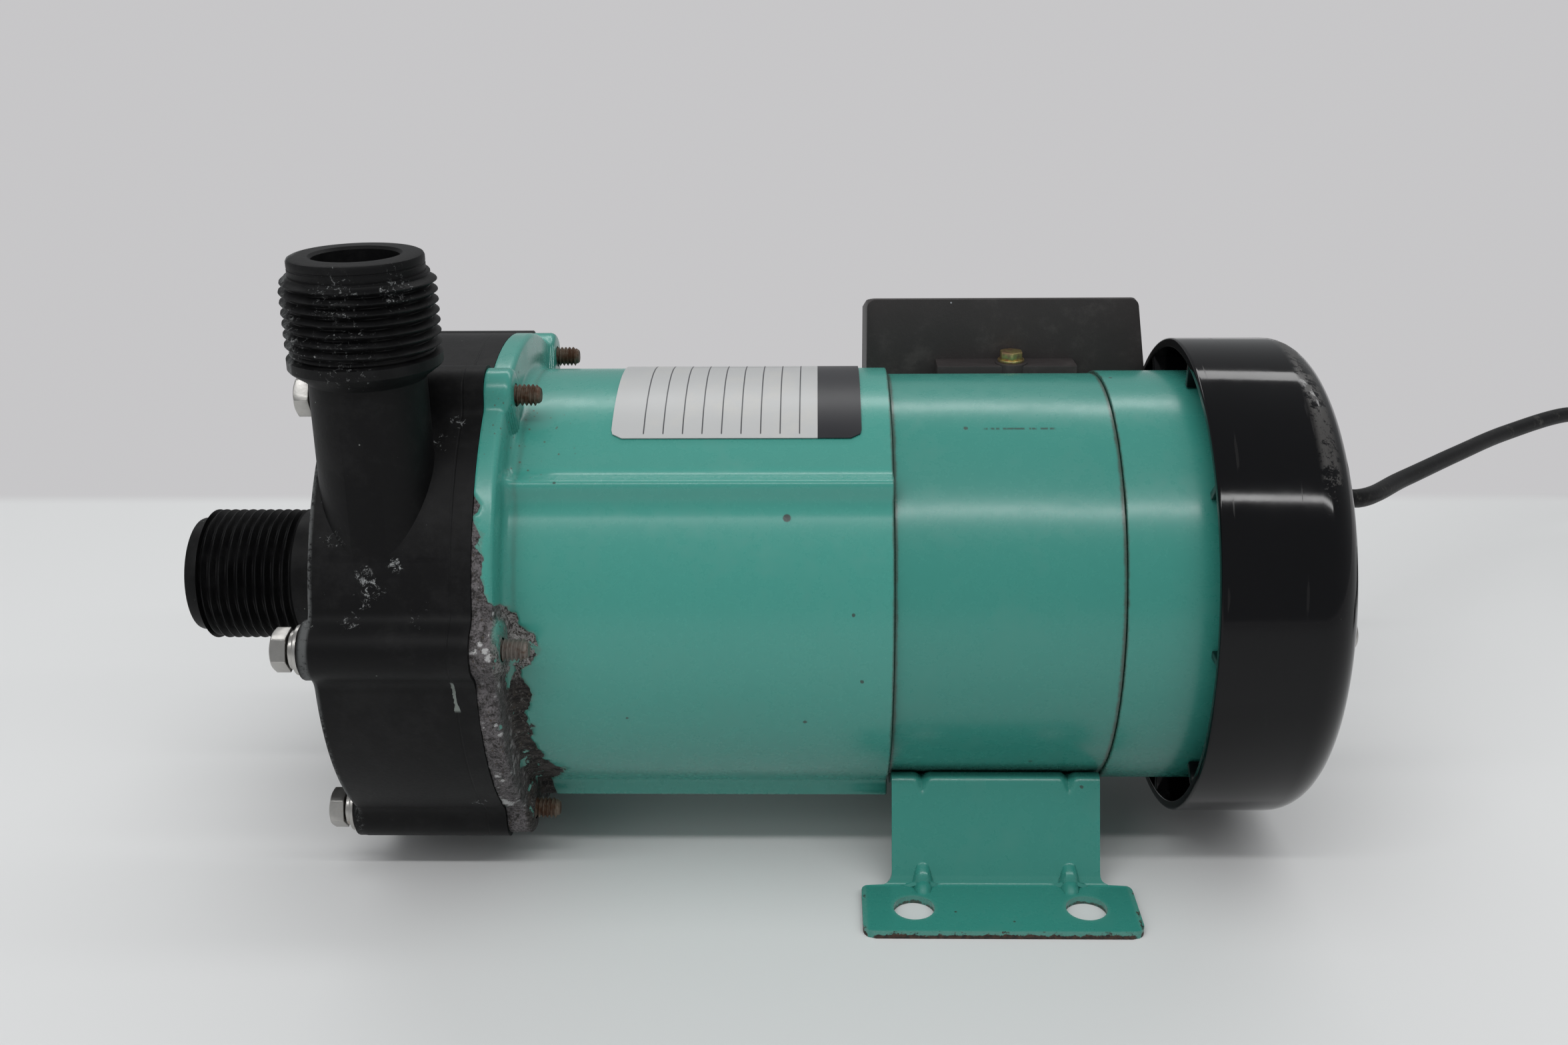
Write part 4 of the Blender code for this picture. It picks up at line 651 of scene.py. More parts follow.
class Finish:
    """A material under construction. What it reads is in the pump's own coordinates."""

    def __init__(self, name, base, roughness, metallic=0.0, coat=0.0, shine=0.5):
        self.material = bpy.data.materials.new(name)
        self.material.use_nodes = True
        self.tree = self.material.node_tree
        self.shader = self.tree.nodes["Principled BSDF"]
        self.base = base
        self.colour = base
        plain_values = {
            "Base Color": (*base, 1.0),
            "Roughness": roughness,
            "Metallic": metallic,
            "Coat Weight": coat,
            "Coat Roughness": COAT_ROUGHNESS,
            "Specular IOR Level": shine,
        }
        for socket, value in plain_values.items():
            self.shader.inputs[socket].default_value = value
        where = self.node("ShaderNodeTexCoord", output="Object")
        self.where = self.vector("SUBTRACT", where, tuple(AXLE))
        self.x, self.y, self.z = (
            self.node("ShaderNodeSeparateXYZ", {}, {0: self.where}, output=axis) for axis in "XYZ"
        )

    def node(self, kind, settings=None, values=None, output=0):
        made = self.tree.nodes.new(kind)
        for key, value in (settings or {}).items():
            setattr(made, key, value)
        for key, value in (values or {}).items():
            if isinstance(value, Wire):
                self.tree.links.new(value.socket, made.inputs[key])
            else:
                made.inputs[key].default_value = value
        return Wire(self, made.outputs[output])

    def vector(self, operation, first, second, output="Vector"):
        return self.node("ShaderNodeVectorMath", {"operation": operation}, {0: first, 1: second}, output)

    def noise(self, size, detail=3.0, rough=0.55, factors=(1, 1, 1), warp=0.0):
        """Noise whose patches are about size metres across."""
        where = self.vector("MULTIPLY", self.where, tuple(f / size for f in factors))
        values = {"Vector": where, "Scale": 1.0, "Detail": detail, "Roughness": rough, "Distortion": warp}
        return self.node("ShaderNodeTexNoise", {}, values)

    def cells(self, size):
        """Distance to the nearest of scattered points that lie about size metres apart."""
        where = self.vector("MULTIPLY", self.where, (1 / size,) * 3)
        return self.node("ShaderNodeTexVoronoi", {}, {"Vector": where, "Scale": 1.0})

    def spot(self, place, radius):
        """1 at a place, falling to 0 at the radius."""
        return 1 - self.vector("DISTANCE", self.where, tuple(place), "Value") / radius

    def mix(self, first, second, mask):
        """One colour laid over another where the mask is 1."""
        first, second = (c if isinstance(c, Wire) else (*c, 1.0) for c in (first, second))
        return self.node("ShaderNodeMix", {"data_type": "RGBA"}, {0: mask, 6: first, 7: second}, output=2)

    def lay(self, colour_of, mask):
        """Lays a colour over the finish where the mask is 1."""
        self.colour = self.mix(self.colour, colour_of, mask)

    def mottle(self, factor, amount):
        """Makes the base colour darker or lighter by a factor that runs from 0 to 1."""
        dark = tuple(c * (1 - amount) for c in self.base)
        light = tuple(min(c * (1 + amount), 1.0) for c in self.base)
        self.colour = self.mix(dark, light, factor)

    def bump(self, height, depth, strength=1.0):
        values = {"Height": height, "Distance": depth, "Strength": strength}
        return self.node("ShaderNodeBump", {}, values, output="Normal")

    def give(self, rough=None, normal=None, coat=None, metal=None):
        """Connects what varies over the piece, and returns the material."""
        varying = {
            "Base Color": self.colour,
            "Roughness": rough,
            "Normal": normal,
            "Coat Weight": coat,
            "Metallic": metal,
        }
        for socket, wire in varying.items():
            if wire:
                self.tree.links.new(wire.socket, self.shader.inputs[socket])
        return self.material


MATERIALS = {}


def material(name):
    """The finish of that name, made when it is first asked for."""
    if name not in MATERIALS:
        colours = bpy.context.scene.pump_colours
        MATERIALS[name] = plain_finish(name) if name in PLAIN else FINISHES[name](colours)
    return MATERIALS[name]


# Dirt, wear and stains on the paint, with painted shade by the foot and a painted highlight on the foot's
# bend
PAINT_DUST = (0.15, 0.23, 0.20)
SEAM_GRIME = (0.045, 0.050, 0.038)
BARE_CHIP = (0.026, 0.032, 0.028)
# Painted shade: darker green laid on the housing low down where the foot meets it
PAINTED_FOOT_SHADE = (0.030, 0.045, 0.038)
BOX_CRUST = (0.10, 0.085, 0.055)
SCRATCHED = (0.030, 0.045, 0.040)
LIFTED_PAINT = (0.10, 0.19, 0.155)
LOOSE_DIRT = (0.075, 0.060, 0.042)
NEAR_CHIP = (0.03, 0.04, 0.038)
RUBBED_PAINT = (0.13, 0.30, 0.25)
# Painted highlight: paler green along the foot's lower bend
PAINTED_BEND_HIGHLIGHT = (0.20, 0.45, 0.39)

# Corrosion: pairs run from the darkest to the palest
DARK_SCALE = ((0.010, 0.008, 0.007), (0.060, 0.052, 0.047))
PALE_SCALE = ((0.032, 0.028, 0.027), (0.185, 0.172, 0.178))
SCALE_EDGES = (0.22, 0.21, 0.20)
CRYSTALS = (0.66, 0.66, 0.66)
PITS = (0.012, 0.010, 0.009)
CRUMBS = (0.40, 0.39, 0.38)
EDGE_RUST = ((0.050, 0.024, 0.014), (0.012, 0.008, 0.006))
STUD_RUST = (0.13, 0.10, 0.075)
CLEAN_STUD = (0.17, 0.155, 0.14)
TEA_STAIN = (0.30, 0.22, 0.14)
ZINC_STAIN = (0.42, 0.22, 0.16)

# Dust and marks on the mouldings, the lead and the plate
CASING_HAZE = (0.22, 0.22, 0.22)
SCUFFED = (0.30, 0.31, 0.31)
FLECKED = (0.30, 0.32, 0.30)
RUBBED_RIM = (0.24, 0.25, 0.25)
DRIED_DRIP = (0.24, 0.27, 0.25)
COVER_DUST = (0.13, 0.125, 0.12)
BOX_DUST = (0.16, 0.15, 0.14)
BOX_SPECKS = (0.42, 0.42, 0.45)
LEAD_DUST = (0.20, 0.19, 0.17)
SMUDGED = (0.50, 0.48, 0.43)
RULED = (0.05, 0.05, 0.055)
DARK_BAND = (0.010, 0.010, 0.013)

# Places of marks, counted from the motor's middle
SECOND_STUD = (-0.0892, -0.0222, 0.0355)
THIRD_STUD = (-0.0880, -0.0440, 0.0045)
THIRD_LUG = (-0.0925, -0.0470, 0.0060)
CHIP_PLACE = (-0.0400, -0.0340, 0.0243)
DRIP_STATION = -0.0985
PARTING_LINE = -0.0987


def painted(name, base, seams=()):
    """Sprayed enamel with a fine orange peel, drawn circles under it, grime in the seams and small chips."""
    paint = Finish(name, base, 0.34, coat=COAT)
    cloud = paint.noise(0.060, detail=2.0)
    fine = paint.noise(0.0030, detail=4.0)
    paint.mottle(cloud * 0.7 + fine * 0.3, 0.06)
    dust = paint.noise(0.012, detail=6.0, rough=0.75).above(0.60, 0.24) * 0.06
    paint.lay(PAINT_DUST, dust)
    grime = paint.noise(0.0018, detail=5.0, rough=0.75) * 0.6 + paint.noise(0.011, detail=3.0) * 0.5
    for station, width, strength in seams:
        near = 1 - abs(paint.x - station) / width
        paint.lay(SEAM_GRIME, (near + grime - 0.75).above(0.52, 0.5) * strength)
    chip = (paint.cells(0.0105) + paint.noise(0.0012) * 0.06).below(0.064, 0.012)
    paint.lay(BARE_CHIP, chip * 0.85)
    peel = paint.noise(0.0011, detail=2.0)
    rings = paint.noise(0.00035, detail=2.0, factors=(1, 0.02, 0.02))
    height = peel * 0.55 + rings * 0.55 - chip * 2.5
    rough = 0.235 + fine * 0.07 + dust * 1.5 + chip * 0.3
    return paint, rough, height


def motor_paint(colours):
    """Paint of the housing and end bracket, with painted shade low down by the foot, grime by the box and
    one row of scratches.
    """
    seams = ((HOUSING_FRONT, 0.0012, 0.75), (HOUSING_REAR, 0.0014, 0.85))
    paint, rough, height = painted("motor_paint", colours.housing, seams)
    # Painted shade: the housing is darkened low down along the foot, where shade falls
    shade_by_foot = (paint.z - FLOOR).below(0.0240, 0.0030) * abs(paint.x).below(0.0215, 0.001)
    paint.lay(PAINTED_FOOT_SHADE, shade_by_foot * 0.5)
    by_box = paint.y.within(BOX_LUG_NEAR - 0.0035, BOX_LUG_NEAR + 0.004, 0.002)
    along = paint.x.within(BOX_FRONT, BOX_REAR, 0.003) * paint.z.above(0.02, 0.002)
    crust = paint.noise(0.0012, detail=5.0, rough=0.75).above(0.54, 0.10)
    paint.lay(BOX_CRUST, by_box * along * crust * 0.6)
    station, side = SCRATCH
    scratch = paint.y.at(side, 0.00022, 0.0002) * paint.x.at(station, 0.0065, 0.001)
    dashes = paint.noise(0.0005, detail=1.0, factors=(1, 0.1, 0.1)).above(0.48, 0.06)
    paint.lay(SCRATCHED, scratch * dashes * paint.z.above(0.0, 0.002) * 0.8)
    return paint.give(rough, paint.bump(height, 0.00002, 0.35))


def corroded(paint, rim, crumble, grain):
    """Dark fibrous scale, pale powder with crystals on the rim, and crumbs round the third stud."""
    fibre = paint.noise(0.0011, detail=5.0, rough=0.7, factors=(0.45, 1, 1.6), warp=0.3)
    dark = paint.mix(*DARK_SCALE, fibre.above(0.50, 0.16))
    dark = paint.mix(dark, SCALE_EDGES, (crumble * grain).above(0.315, 0.05) * 0.8)
    pale = paint.mix(*PALE_SCALE, (grain * 0.5 + crumble * 0.5).above(0.50, 0.16))
    clumps = paint.noise(0.0048, detail=3.0)
    crystals = paint.cells(0.00150) * 0.5 + grain * 0.6 + crumble * 0.7 - clumps * 1.2
    pale = paint.mix(pale, CRYSTALS, crystals.below(0.10, 0.10) * 0.85)
    scale = paint.mix(dark, pale, rim)
    scale = paint.mix(scale, PITS, crumble.below(0.40, 0.05) * 0.9)
    by_stud = paint.spot(THIRD_STUD, 0.0095).above(0.12, 0.4) * (1 - rim)
    crumbs = by_stud * (grain + crumble).above(1.00, 0.16)
    return paint.mix(scale, CRUMBS, crumbs * 0.8)


def bracket_paint(colours):
    """Motor paint that has gone where the casting has corroded from the flange's edge."""
    seams = ((BRACKET_REAR, 0.0010, 0.75), (FLANGE_REAR + 0.0022, 0.0014, 0.22))
    paint, rough, height = painted("bracket_paint", colours.paint, seams)
    rot = paint.node("ShaderNodeAttribute", {"attribute_name": "corrosion"}, output="Fac")
    crumble = paint.noise(0.0013, detail=7.0, rough=0.78, warp=0.6)
    grain = paint.noise(0.00038, detail=4.0, rough=0.75)
    rim = (paint.x + grain * 0.0008).below(BRACKET_FRONT + 0.0040, 0.0010)
    left_green = (paint.noise(0.0042, detail=4.0, rough=0.6, warp=0.4) - rim * 0.10).above(0.600, 0.025)
    by_stud = paint.spot(THIRD_LUG, 0.0052).above(0.15, 0.3) * (1 - rim) * crumble.below(0.56, 0.05)
    eaten = (rot + crumble * 0.7 - 0.35).above(0.50, 0.07) * (1 - left_green.most(by_stud))
    paint.lay(LIFTED_PAINT, (rot + crumble * 1.1 - 0.55).above(0.22, 0.16) * 0.45)
    paint.lay(corroded(paint, rim, crumble, grain), eaten)
    sprinkled = paint.spot(SECOND_STUD, 0.0130).above(0.20, 0.6).most(rot)
    dirt = (paint.cells(0.0013) + crumble * 0.35 - sprinkled * 0.13).below(0.20, 0.03)
    paint.lay(LOOSE_DIRT, dirt * sprinkled.above(0.05, 0.1) * 0.8)
    paint.lay(NEAR_CHIP, paint.spot(CHIP_PLACE, 0.0008).above(0.1, 0.3))
    height = height * 0.14 + eaten * (crumble * 9 + grain * 5 - 6)
    return paint.give(rough + eaten * 0.5, paint.bump(height, 0.00007), eaten.below(0.5, 0.5) * COAT)


def foot_paint(colours):
    """Darker enamel on sheet steel, with rust along the cut edges and round the holes, and a painted
    highlight along the lower bend.
    """
    paint, rough, height = painted("foot_paint", colours.foot_paint)
    rusty = paint.noise(0.0022, detail=7.0, rough=0.78)
    side = abs(paint.y)
    above_floor = paint.z - FLOOR
    edge = side.above(0.0508, 0.0005)
    ends = abs(paint.x).above(0.0252, 0.0006) * above_floor.below(0.004, 0.002)
    from_hole = (abs(paint.x) - FOOT_HOLES[0]).hypot(side - FOOT_HOLES[1])
    holes = from_hole.within(0.0030, 0.0043, 0.0008) * 0.8
    worn_places = (edge + ends + holes).least(1.0)
    low = above_floor.below(0.0007, 0.0008) * 0.25
    speck = (paint.cells(0.0055) + rusty * 0.04).below(0.066, 0.02) * above_floor.below(0.012, 0.010)
    spread = (worn_places * (0.34 + low) + rusty - 0.42).above(0.50, 0.08)
    rust = spread.most(speck * 0.85) * worn_places.most(speck)
    paint.lay(RUBBED_PAINT, worn_places * rusty.above(0.40, 0.2) * 0.35)
    paint.lay(paint.mix(*EDGE_RUST, paint.noise(0.0008).above(0.5, 0.2)), rust)
    # Painted highlight: a paler band laid along the lower bend of the foot
    bend_highlight = (above_floor + (side - FOOT_BEND).most(0.0) * 3.0).within(0.0016, 0.0030, 0.0008)
    paint.lay(PAINTED_BEND_HIGHLIGHT, bend_highlight * 0.22)
    return paint.give(rough + rust * 0.5, paint.bump(height + rust * 8, 0.00002, 0.4))


SCUFFS = (
    (-0.1082, -0.0451, 0.0193, 0.0022, 0.34),
    (-0.1133, -0.0457, 0.0177, 0.0030, 0.34),
    (-0.1121, -0.0465, 0.0154, 0.0030, 0.32),
    (-0.1139, -0.0471, 0.0135, 0.0024, 0.26),
    (-0.1160, -0.0480, 0.0099, 0.0034, 0.26),
    (-0.1189, -0.0430, 0.0235, 0.0036, 0.26),
    (-0.1216, -0.0392, 0.0294, 0.0032, 0.18),
    (-0.0991, -0.0278, 0.0404, 0.0026, 0.28),
    (-0.1021, -0.0311, 0.0379, 0.0034, 0.22),
    (-0.1240, -0.0476, 0.0080, 0.0040, 0.30),
    (-0.0988, -0.0369, -0.0322, 0.0030, 0.30),
    (-0.1011, -0.0259, -0.0430, 0.0036, 0.26),
    (-0.1040, -0.0480, 0.0105, 0.0040, 0.16),
)
THREAD_DEPOSITS = (
    (-0.1235, -0.0410, 0.0600, 0.0100, 0.28),
    (-0.1130, -0.0480, 0.0665, 0.0085, 0.24),
    (-0.1030, -0.0440, 0.0680, 0.0060, 0.27),
    (-0.1130, -0.0480, 0.0580, 0.0110, 0.21),
)


def dried_drip(skin, crumbs):
    """A narrow run that has dried on the casing's near side, wider at its foot."""
    width = skin.z.below(-0.0060, 0.0014) * 0.00028 + 0.00010 + crumbs * 0.00030
    away = abs(skin.x - DRIP_STATION + skin.z * 0.05 + crumbs * 0.0010) / width
    return away.below(1.0, 0.3) * skin.z.within(-0.0070, -0.0008, 0.0008) * skin.y.below(-0.030, 0.002)


def casing_plastic(colours):
    """Glass-filled moulding: dull, finely mottled, with pale scuffs where it has been knocked."""
    skin = Finish("casing_plastic", colours.casing, 0.5, shine=0.17)
    cloud = skin.noise(0.020, detail=3.0)
    fine = skin.noise(0.0007, detail=3.0, rough=0.7)
    skin.mottle(cloud * 0.3 + fine * 0.7, 0.35)
    haze = skin.noise(0.013, detail=6.0, rough=0.75).above(0.56, 0.18) * 0.02
    skin.lay(CASING_HAZE, haze)
    crumbs = skin.noise(0.0011, detail=6.0, rough=0.78, warp=0.8)
    knocks = 0.0
    for *place, radius, strength in SCUFFS + THREAD_DEPOSITS:
        knocks = (skin.spot(place, radius).most(0.0).least(0.6) * (strength * 0.95)).most(knocks)
    broken = skin.noise(0.00028, detail=4.0, rough=0.8)
    scuff = (crumbs + knocks).above(0.720, 0.07) * broken.above(0.47, 0.08)
    skin.lay(SCUFFED, scuff * 0.8)
    skin.lay(FLECKED, (skin.cells(0.0050) + fine * 0.02).below(0.036, 0.012) * 0.5)
    rim = skin.x.at(CASING_FRONT, 0.0007, 0.0008) * skin.y.hypot(skin.z).above(CASING_FACE - 0.0012, 0.0006)
    skin.lay(RUBBED_RIM, rim * (fine * 0.6 + cloud * 0.4).above(0.47, 0.16) * 0.34)
    drip = dried_drip(skin, crumbs)
    skin.lay(DRIED_DRIP, drip * 0.75)
    height = fine * 0.8 + scuff * 1.5 - skin.x.at(PARTING_LINE, 0.00016, 0.00014) * 1.6 + drip
    rough = 0.43 + fine * 0.14 + scuff * 0.3 + haze + drip * 0.1
    return skin.give(rough, skin.bump(height, 0.00005, 0.7))


def cover_plastic(colours):
    """Polished moulding with a few hairlines and a dusty rear edge."""
    skin = Finish("cover_plastic", colours.cover, 0.08, shine=0.24)
    haze = skin.noise(0.016, detail=5.0, rough=0.65)
    lines = skin.noise(0.0016, detail=2.0, factors=(1, 0.08, 0.08)).above(0.70, 0.03) * 0.10
    crumbs = skin.noise(0.0018, detail=6.0, rough=0.8)
    dusty = (crumbs * 0.7 + haze * 0.3 + skin.z.above(0.030, 0.010) * 0.16).above(0.64, 0.06)
    rim = skin.x.within(COVER_REAR - 0.0068, COVER_REAR - 0.0034, 0.0016) * dusty
    skin.mottle(haze, 0.25)
    skin.lay(COVER_DUST, lines * 0.5 + rim * 0.35)
    rough = 0.055 + haze.above(0.45, 0.35) * 0.05 + rim * 0.3 + lines
    return skin.give(rough, skin.bump(haze, 0.00006, 0.25))


def box_plastic(colours):
    """Satin moulding with a fine spark-eroded grain and a little dust."""
    skin = Finish("box_plastic", colours.box, 0.50, shine=0.35)
    grain = skin.noise(0.00045, detail=2.0)
    dust = skin.noise(0.010, detail=6.0, rough=0.75)
    skin.mottle(dust, 0.25)
    skin.lay(BOX_DUST, dust.above(0.60, 0.2) * 0.12)
    skin.lay(BOX_SPECKS, (skin.cells(0.0075) + grain * 0.02).below(0.035, 0.01) * 0.6)
    return skin.give(0.46 + grain * 0.12, skin.bump(grain, 0.00005, 0.6))


def bright_steel(colours):
    """Cold-formed fastener steel with fine scratches and a few tea stains."""
    metal = Finish("bright_steel", colours.steel, 0.28, metallic=1.0)
    fine = metal.noise(0.0004, detail=3.0)
    cloud = metal.noise(0.0030, detail=4.0)
    metal.mottle(cloud, 0.18)
    metal.lay(TEA_STAIN, cloud.above(0.66, 0.10) * 0.5)
    return metal.give(0.22 + fine * 0.14 + cloud * 0.10, metal.bump(fine, 0.00002, 0.5))


def bolt_steel(colours):
    """Bright head, with the stud's end gone brown behind the bracket's lugs."""
    metal = Finish("bolt_steel", colours.steel, 0.28, metallic=1.0)
    fine = metal.noise(0.0004, detail=3.0)
    cloud = metal.noise(0.0020, detail=5.0, rough=0.7)
    tail = metal.x.above(BRACKET_FRONT, 0.004)
    metal.mottle(cloud, 0.18)
    metal.lay(TEA_STAIN, cloud.above(0.66, 0.10) * 0.4)
    third = metal.z.within(-0.0010, 0.0110, 0.001) * metal.y.below(-0.0400, 0.002)
    worn = metal.mix(colours.rust, STUD_RUST, cloud.above(0.50, 0.20))
    worn = metal.mix(worn, CLEAN_STUD, third * cloud.above(0.40, 0.2) * 0.8)
    metal.lay(worn, tail)
    normal = metal.bump(fine + tail * cloud, 0.00003, 0.6)
    return metal.give(0.24 + fine * 0.14 + tail * 0.30, normal, metal=1 - tail * 0.6)


def yellow_zinc(colours):
    metal = Finish("yellow_zinc", colours.zinc, 0.30, metallic=0.9)
    cloud = metal.noise(0.0012, detail=3.0)
    metal.lay(ZINC_STAIN, cloud.above(0.52, 0.20) * 0.7)
    return metal.give(0.24 + cloud * 0.2, metal.bump(cloud, 0.00002, 0.5))


def lead_sheath(colours):
    skin = Finish("lead_sheath", colours.lead, 0.42, shine=0.12)
    fine = skin.noise(0.0009, detail=3.0)
    dust = skin.noise(0.006, detail=5.0, rough=0.75)
    skin.mottle(fine, 0.3)
    skin.lay(LEAD_DUST, dust.above(0.62, 0.12) * 0.20)
    return skin.give(0.36 + dust * 0.2, skin.bump(fine, 0.00006, 0.5))


def relief_rubber(colours):
    skin = Finish("relief_rubber", colours.lead, 0.6)
    fine = skin.noise(0.0006, detail=3.0)
    skin.mottle(fine, 0.3)
    return skin.give(0.50 + fine * 0.2, skin.bump(fine, 0.00004, 0.6))


# The plate's ruled lines, counted from its front edge, and its dark band at the other end
RULES = tuple(0.0060 + 0.0036 * rule for rule in range(9))
RULE_WIDTH = 0.00012
RULE_BLUR = 0.00008
BAND_LENGTH = 0.0081


def blank_plate(colours):
    """Pale foil with plain ruled lines and a dark band at one end, and no words."""
    foil = Finish("blank_plate", colours.plate, 0.32)
    low, high = reach("rating_plate", 0)
    along = foil.x - low
    smudge = foil.noise(0.010, detail=5.0, rough=0.7)
    foil.lay(SMUDGED, smudge.above(0.58, 0.25) * 0.30)
    rules = 0.0
    for place in RULES:
        rules = along.at(place, RULE_WIDTH, RULE_BLUR).most(rules)
    column = foil.y.at(0.006, RULE_WIDTH, RULE_BLUR) * along.within(RULES[2], RULES[-1], 0.0001)
    foil.lay(RULED, (rules * foil.y.at(-0.001, 0.0205, 0.0003)).most(column))
    foil.lay(DARK_BAND, along.above(high - low - BAND_LENGTH, 0.0001))
    return foil.give(0.30 + smudge * 0.15, foil.bump(smudge, 0.00003, 0.4))


# Finishes of inner pieces: base, roughness, metallic, size of the grain, its stretch and its strength
PLAIN = {
    "laminations": ((0.20, 0.21, 0.22), 0.45, 0.8, 0.0008, (1, 0.05, 0.05), 0.4),
    "copper": ((0.50, 0.20, 0.09), 0.35, 0.7, 0.0010, (1, 1, 1), 0.4),
    "ferrite": ((0.055, 0.055, 0.060), 0.5, 0.1, 0.0009, (1, 1, 1), 0.3),
    "ceramic": ((0.78, 0.77, 0.72), 0.25, 0.0, 0.0020, (1, 1, 1), 0.06),
    "carbon": ((0.030, 0.030, 0.033), 0.45, 0.0, 0.0006, (1, 1, 1), 0.3),
    "drawn_can": ((0.66, 0.67, 0.68), 0.32, 0.9, 0.0010, (0.05, 1, 1), 0.15),
}


def plain_finish(name):
    base, rough, metallic, size, factors, amount = PLAIN[name]
    metal = Finish(name, base, rough, metallic)
    fine = metal.noise(size, detail=3.0, factors=factors)
    metal.mottle(fine, amount)
    return metal.give(fine * 0.2 + rough * 0.8, metal.bump(fine, 0.00004, 0.5))


FINISHES = {
    maker.__name__: maker
    for maker in (
        motor_paint,
        bracket_paint,
        foot_paint,
        casing_plastic,
        cover_plastic,
        box_plastic,
        bright_steel,
        bolt_steel,
        yellow_zinc,
        lead_sheath,
        relief_rubber,
        blank_plate,
    )
}


# The lead


# Distance between the points of the lead's curve
LINE_STEP = 0.003


def smooth_line(points):
    """Catmull-Rom curve through the points."""
    knots = [Vector(p) for p in points]
    knots = [2 * knots[0] - knots[1]] + knots + [2 * knots[-1] - knots[-2]]
    line = [knots[1]]
    for before, start, end, after in zip(knots, knots[1:], knots[2:], knots[3:]):
        count = max(1, round((end - start).length / LINE_STEP))
        slope = end - before
        bend = 2 * before - 5 * start + 4 * end - after
        twist = 3 * start - 3 * end + after - before
        for piece in range(1, count + 1):
            t = piece / count
            line.append(0.5 * (2 * start + slope * t + bend * t**2 + twist * t**3))
    return line


def ease(share):
    share = min(max(share, 0.0), 1.0)
    return share * share * (3 - 2 * share)


def coil_line(samples=40):
    """Half of the turns wind in on the floor and the other half wind out on top of them."""
    inner, outer = COIL_RADII
    half = COIL_TURNS / 2
    points = []
    for step in range(1, COIL_TURNS * samples):
        turn = step / samples
        radius = inner + (outer - inner) * abs(turn / half - 1)
        level = ease((turn - half + CROSSING / 2) / CROSSING)
        angle = -math.tau * turn
        x = COIL_CENTRE[0] + radius * math.cos(angle)
        y = COIL_CENTRE[1] + radius * math.sin(angle)
        points.append(Vector((x, y, COIL_FLOOR + LAYER * level)))
    return points


def lead_points():
    """The lead's whole centreline, in the frame's own coordinates."""
    shift = Vector((AXLE.x, AXLE.y, 0))
    relief = middle("strain_relief")
    start = Vector((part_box("strain_relief")[1].x + GAP, relief.y, relief.z)) - shift
    free = smooth_line([start, *LEAD_ROUTE])
    join = Vector((COIL_CENTRE[0] + COIL_RADII[1], COIL_CENTRE[1], COIL_FLOOR))
    bridge = smooth_line([free[-1], join])[1:]
    last = Vector((join.x, join.y, COIL_FLOOR + LAYER))
    tail = smooth_line([last, *TAIL_ROUTE])
    return [p + shift for p in free + bridge + coil_line() + tail]


def length_of(line):
    return sum((b - a).length for a, b in zip(line, line[1:]))


def groove(start, steps, radius, depth, rise, edge):
    """Corners of a groove round a sleeve, from its start to the top of its far side."""
    down, on, up = steps
    return [
        (start, radius, 0.0002),
        (start + down, radius - depth, edge),
        (start + on, radius - depth, edge),
        (start + up, radius + rise, 0.0002),
    ]


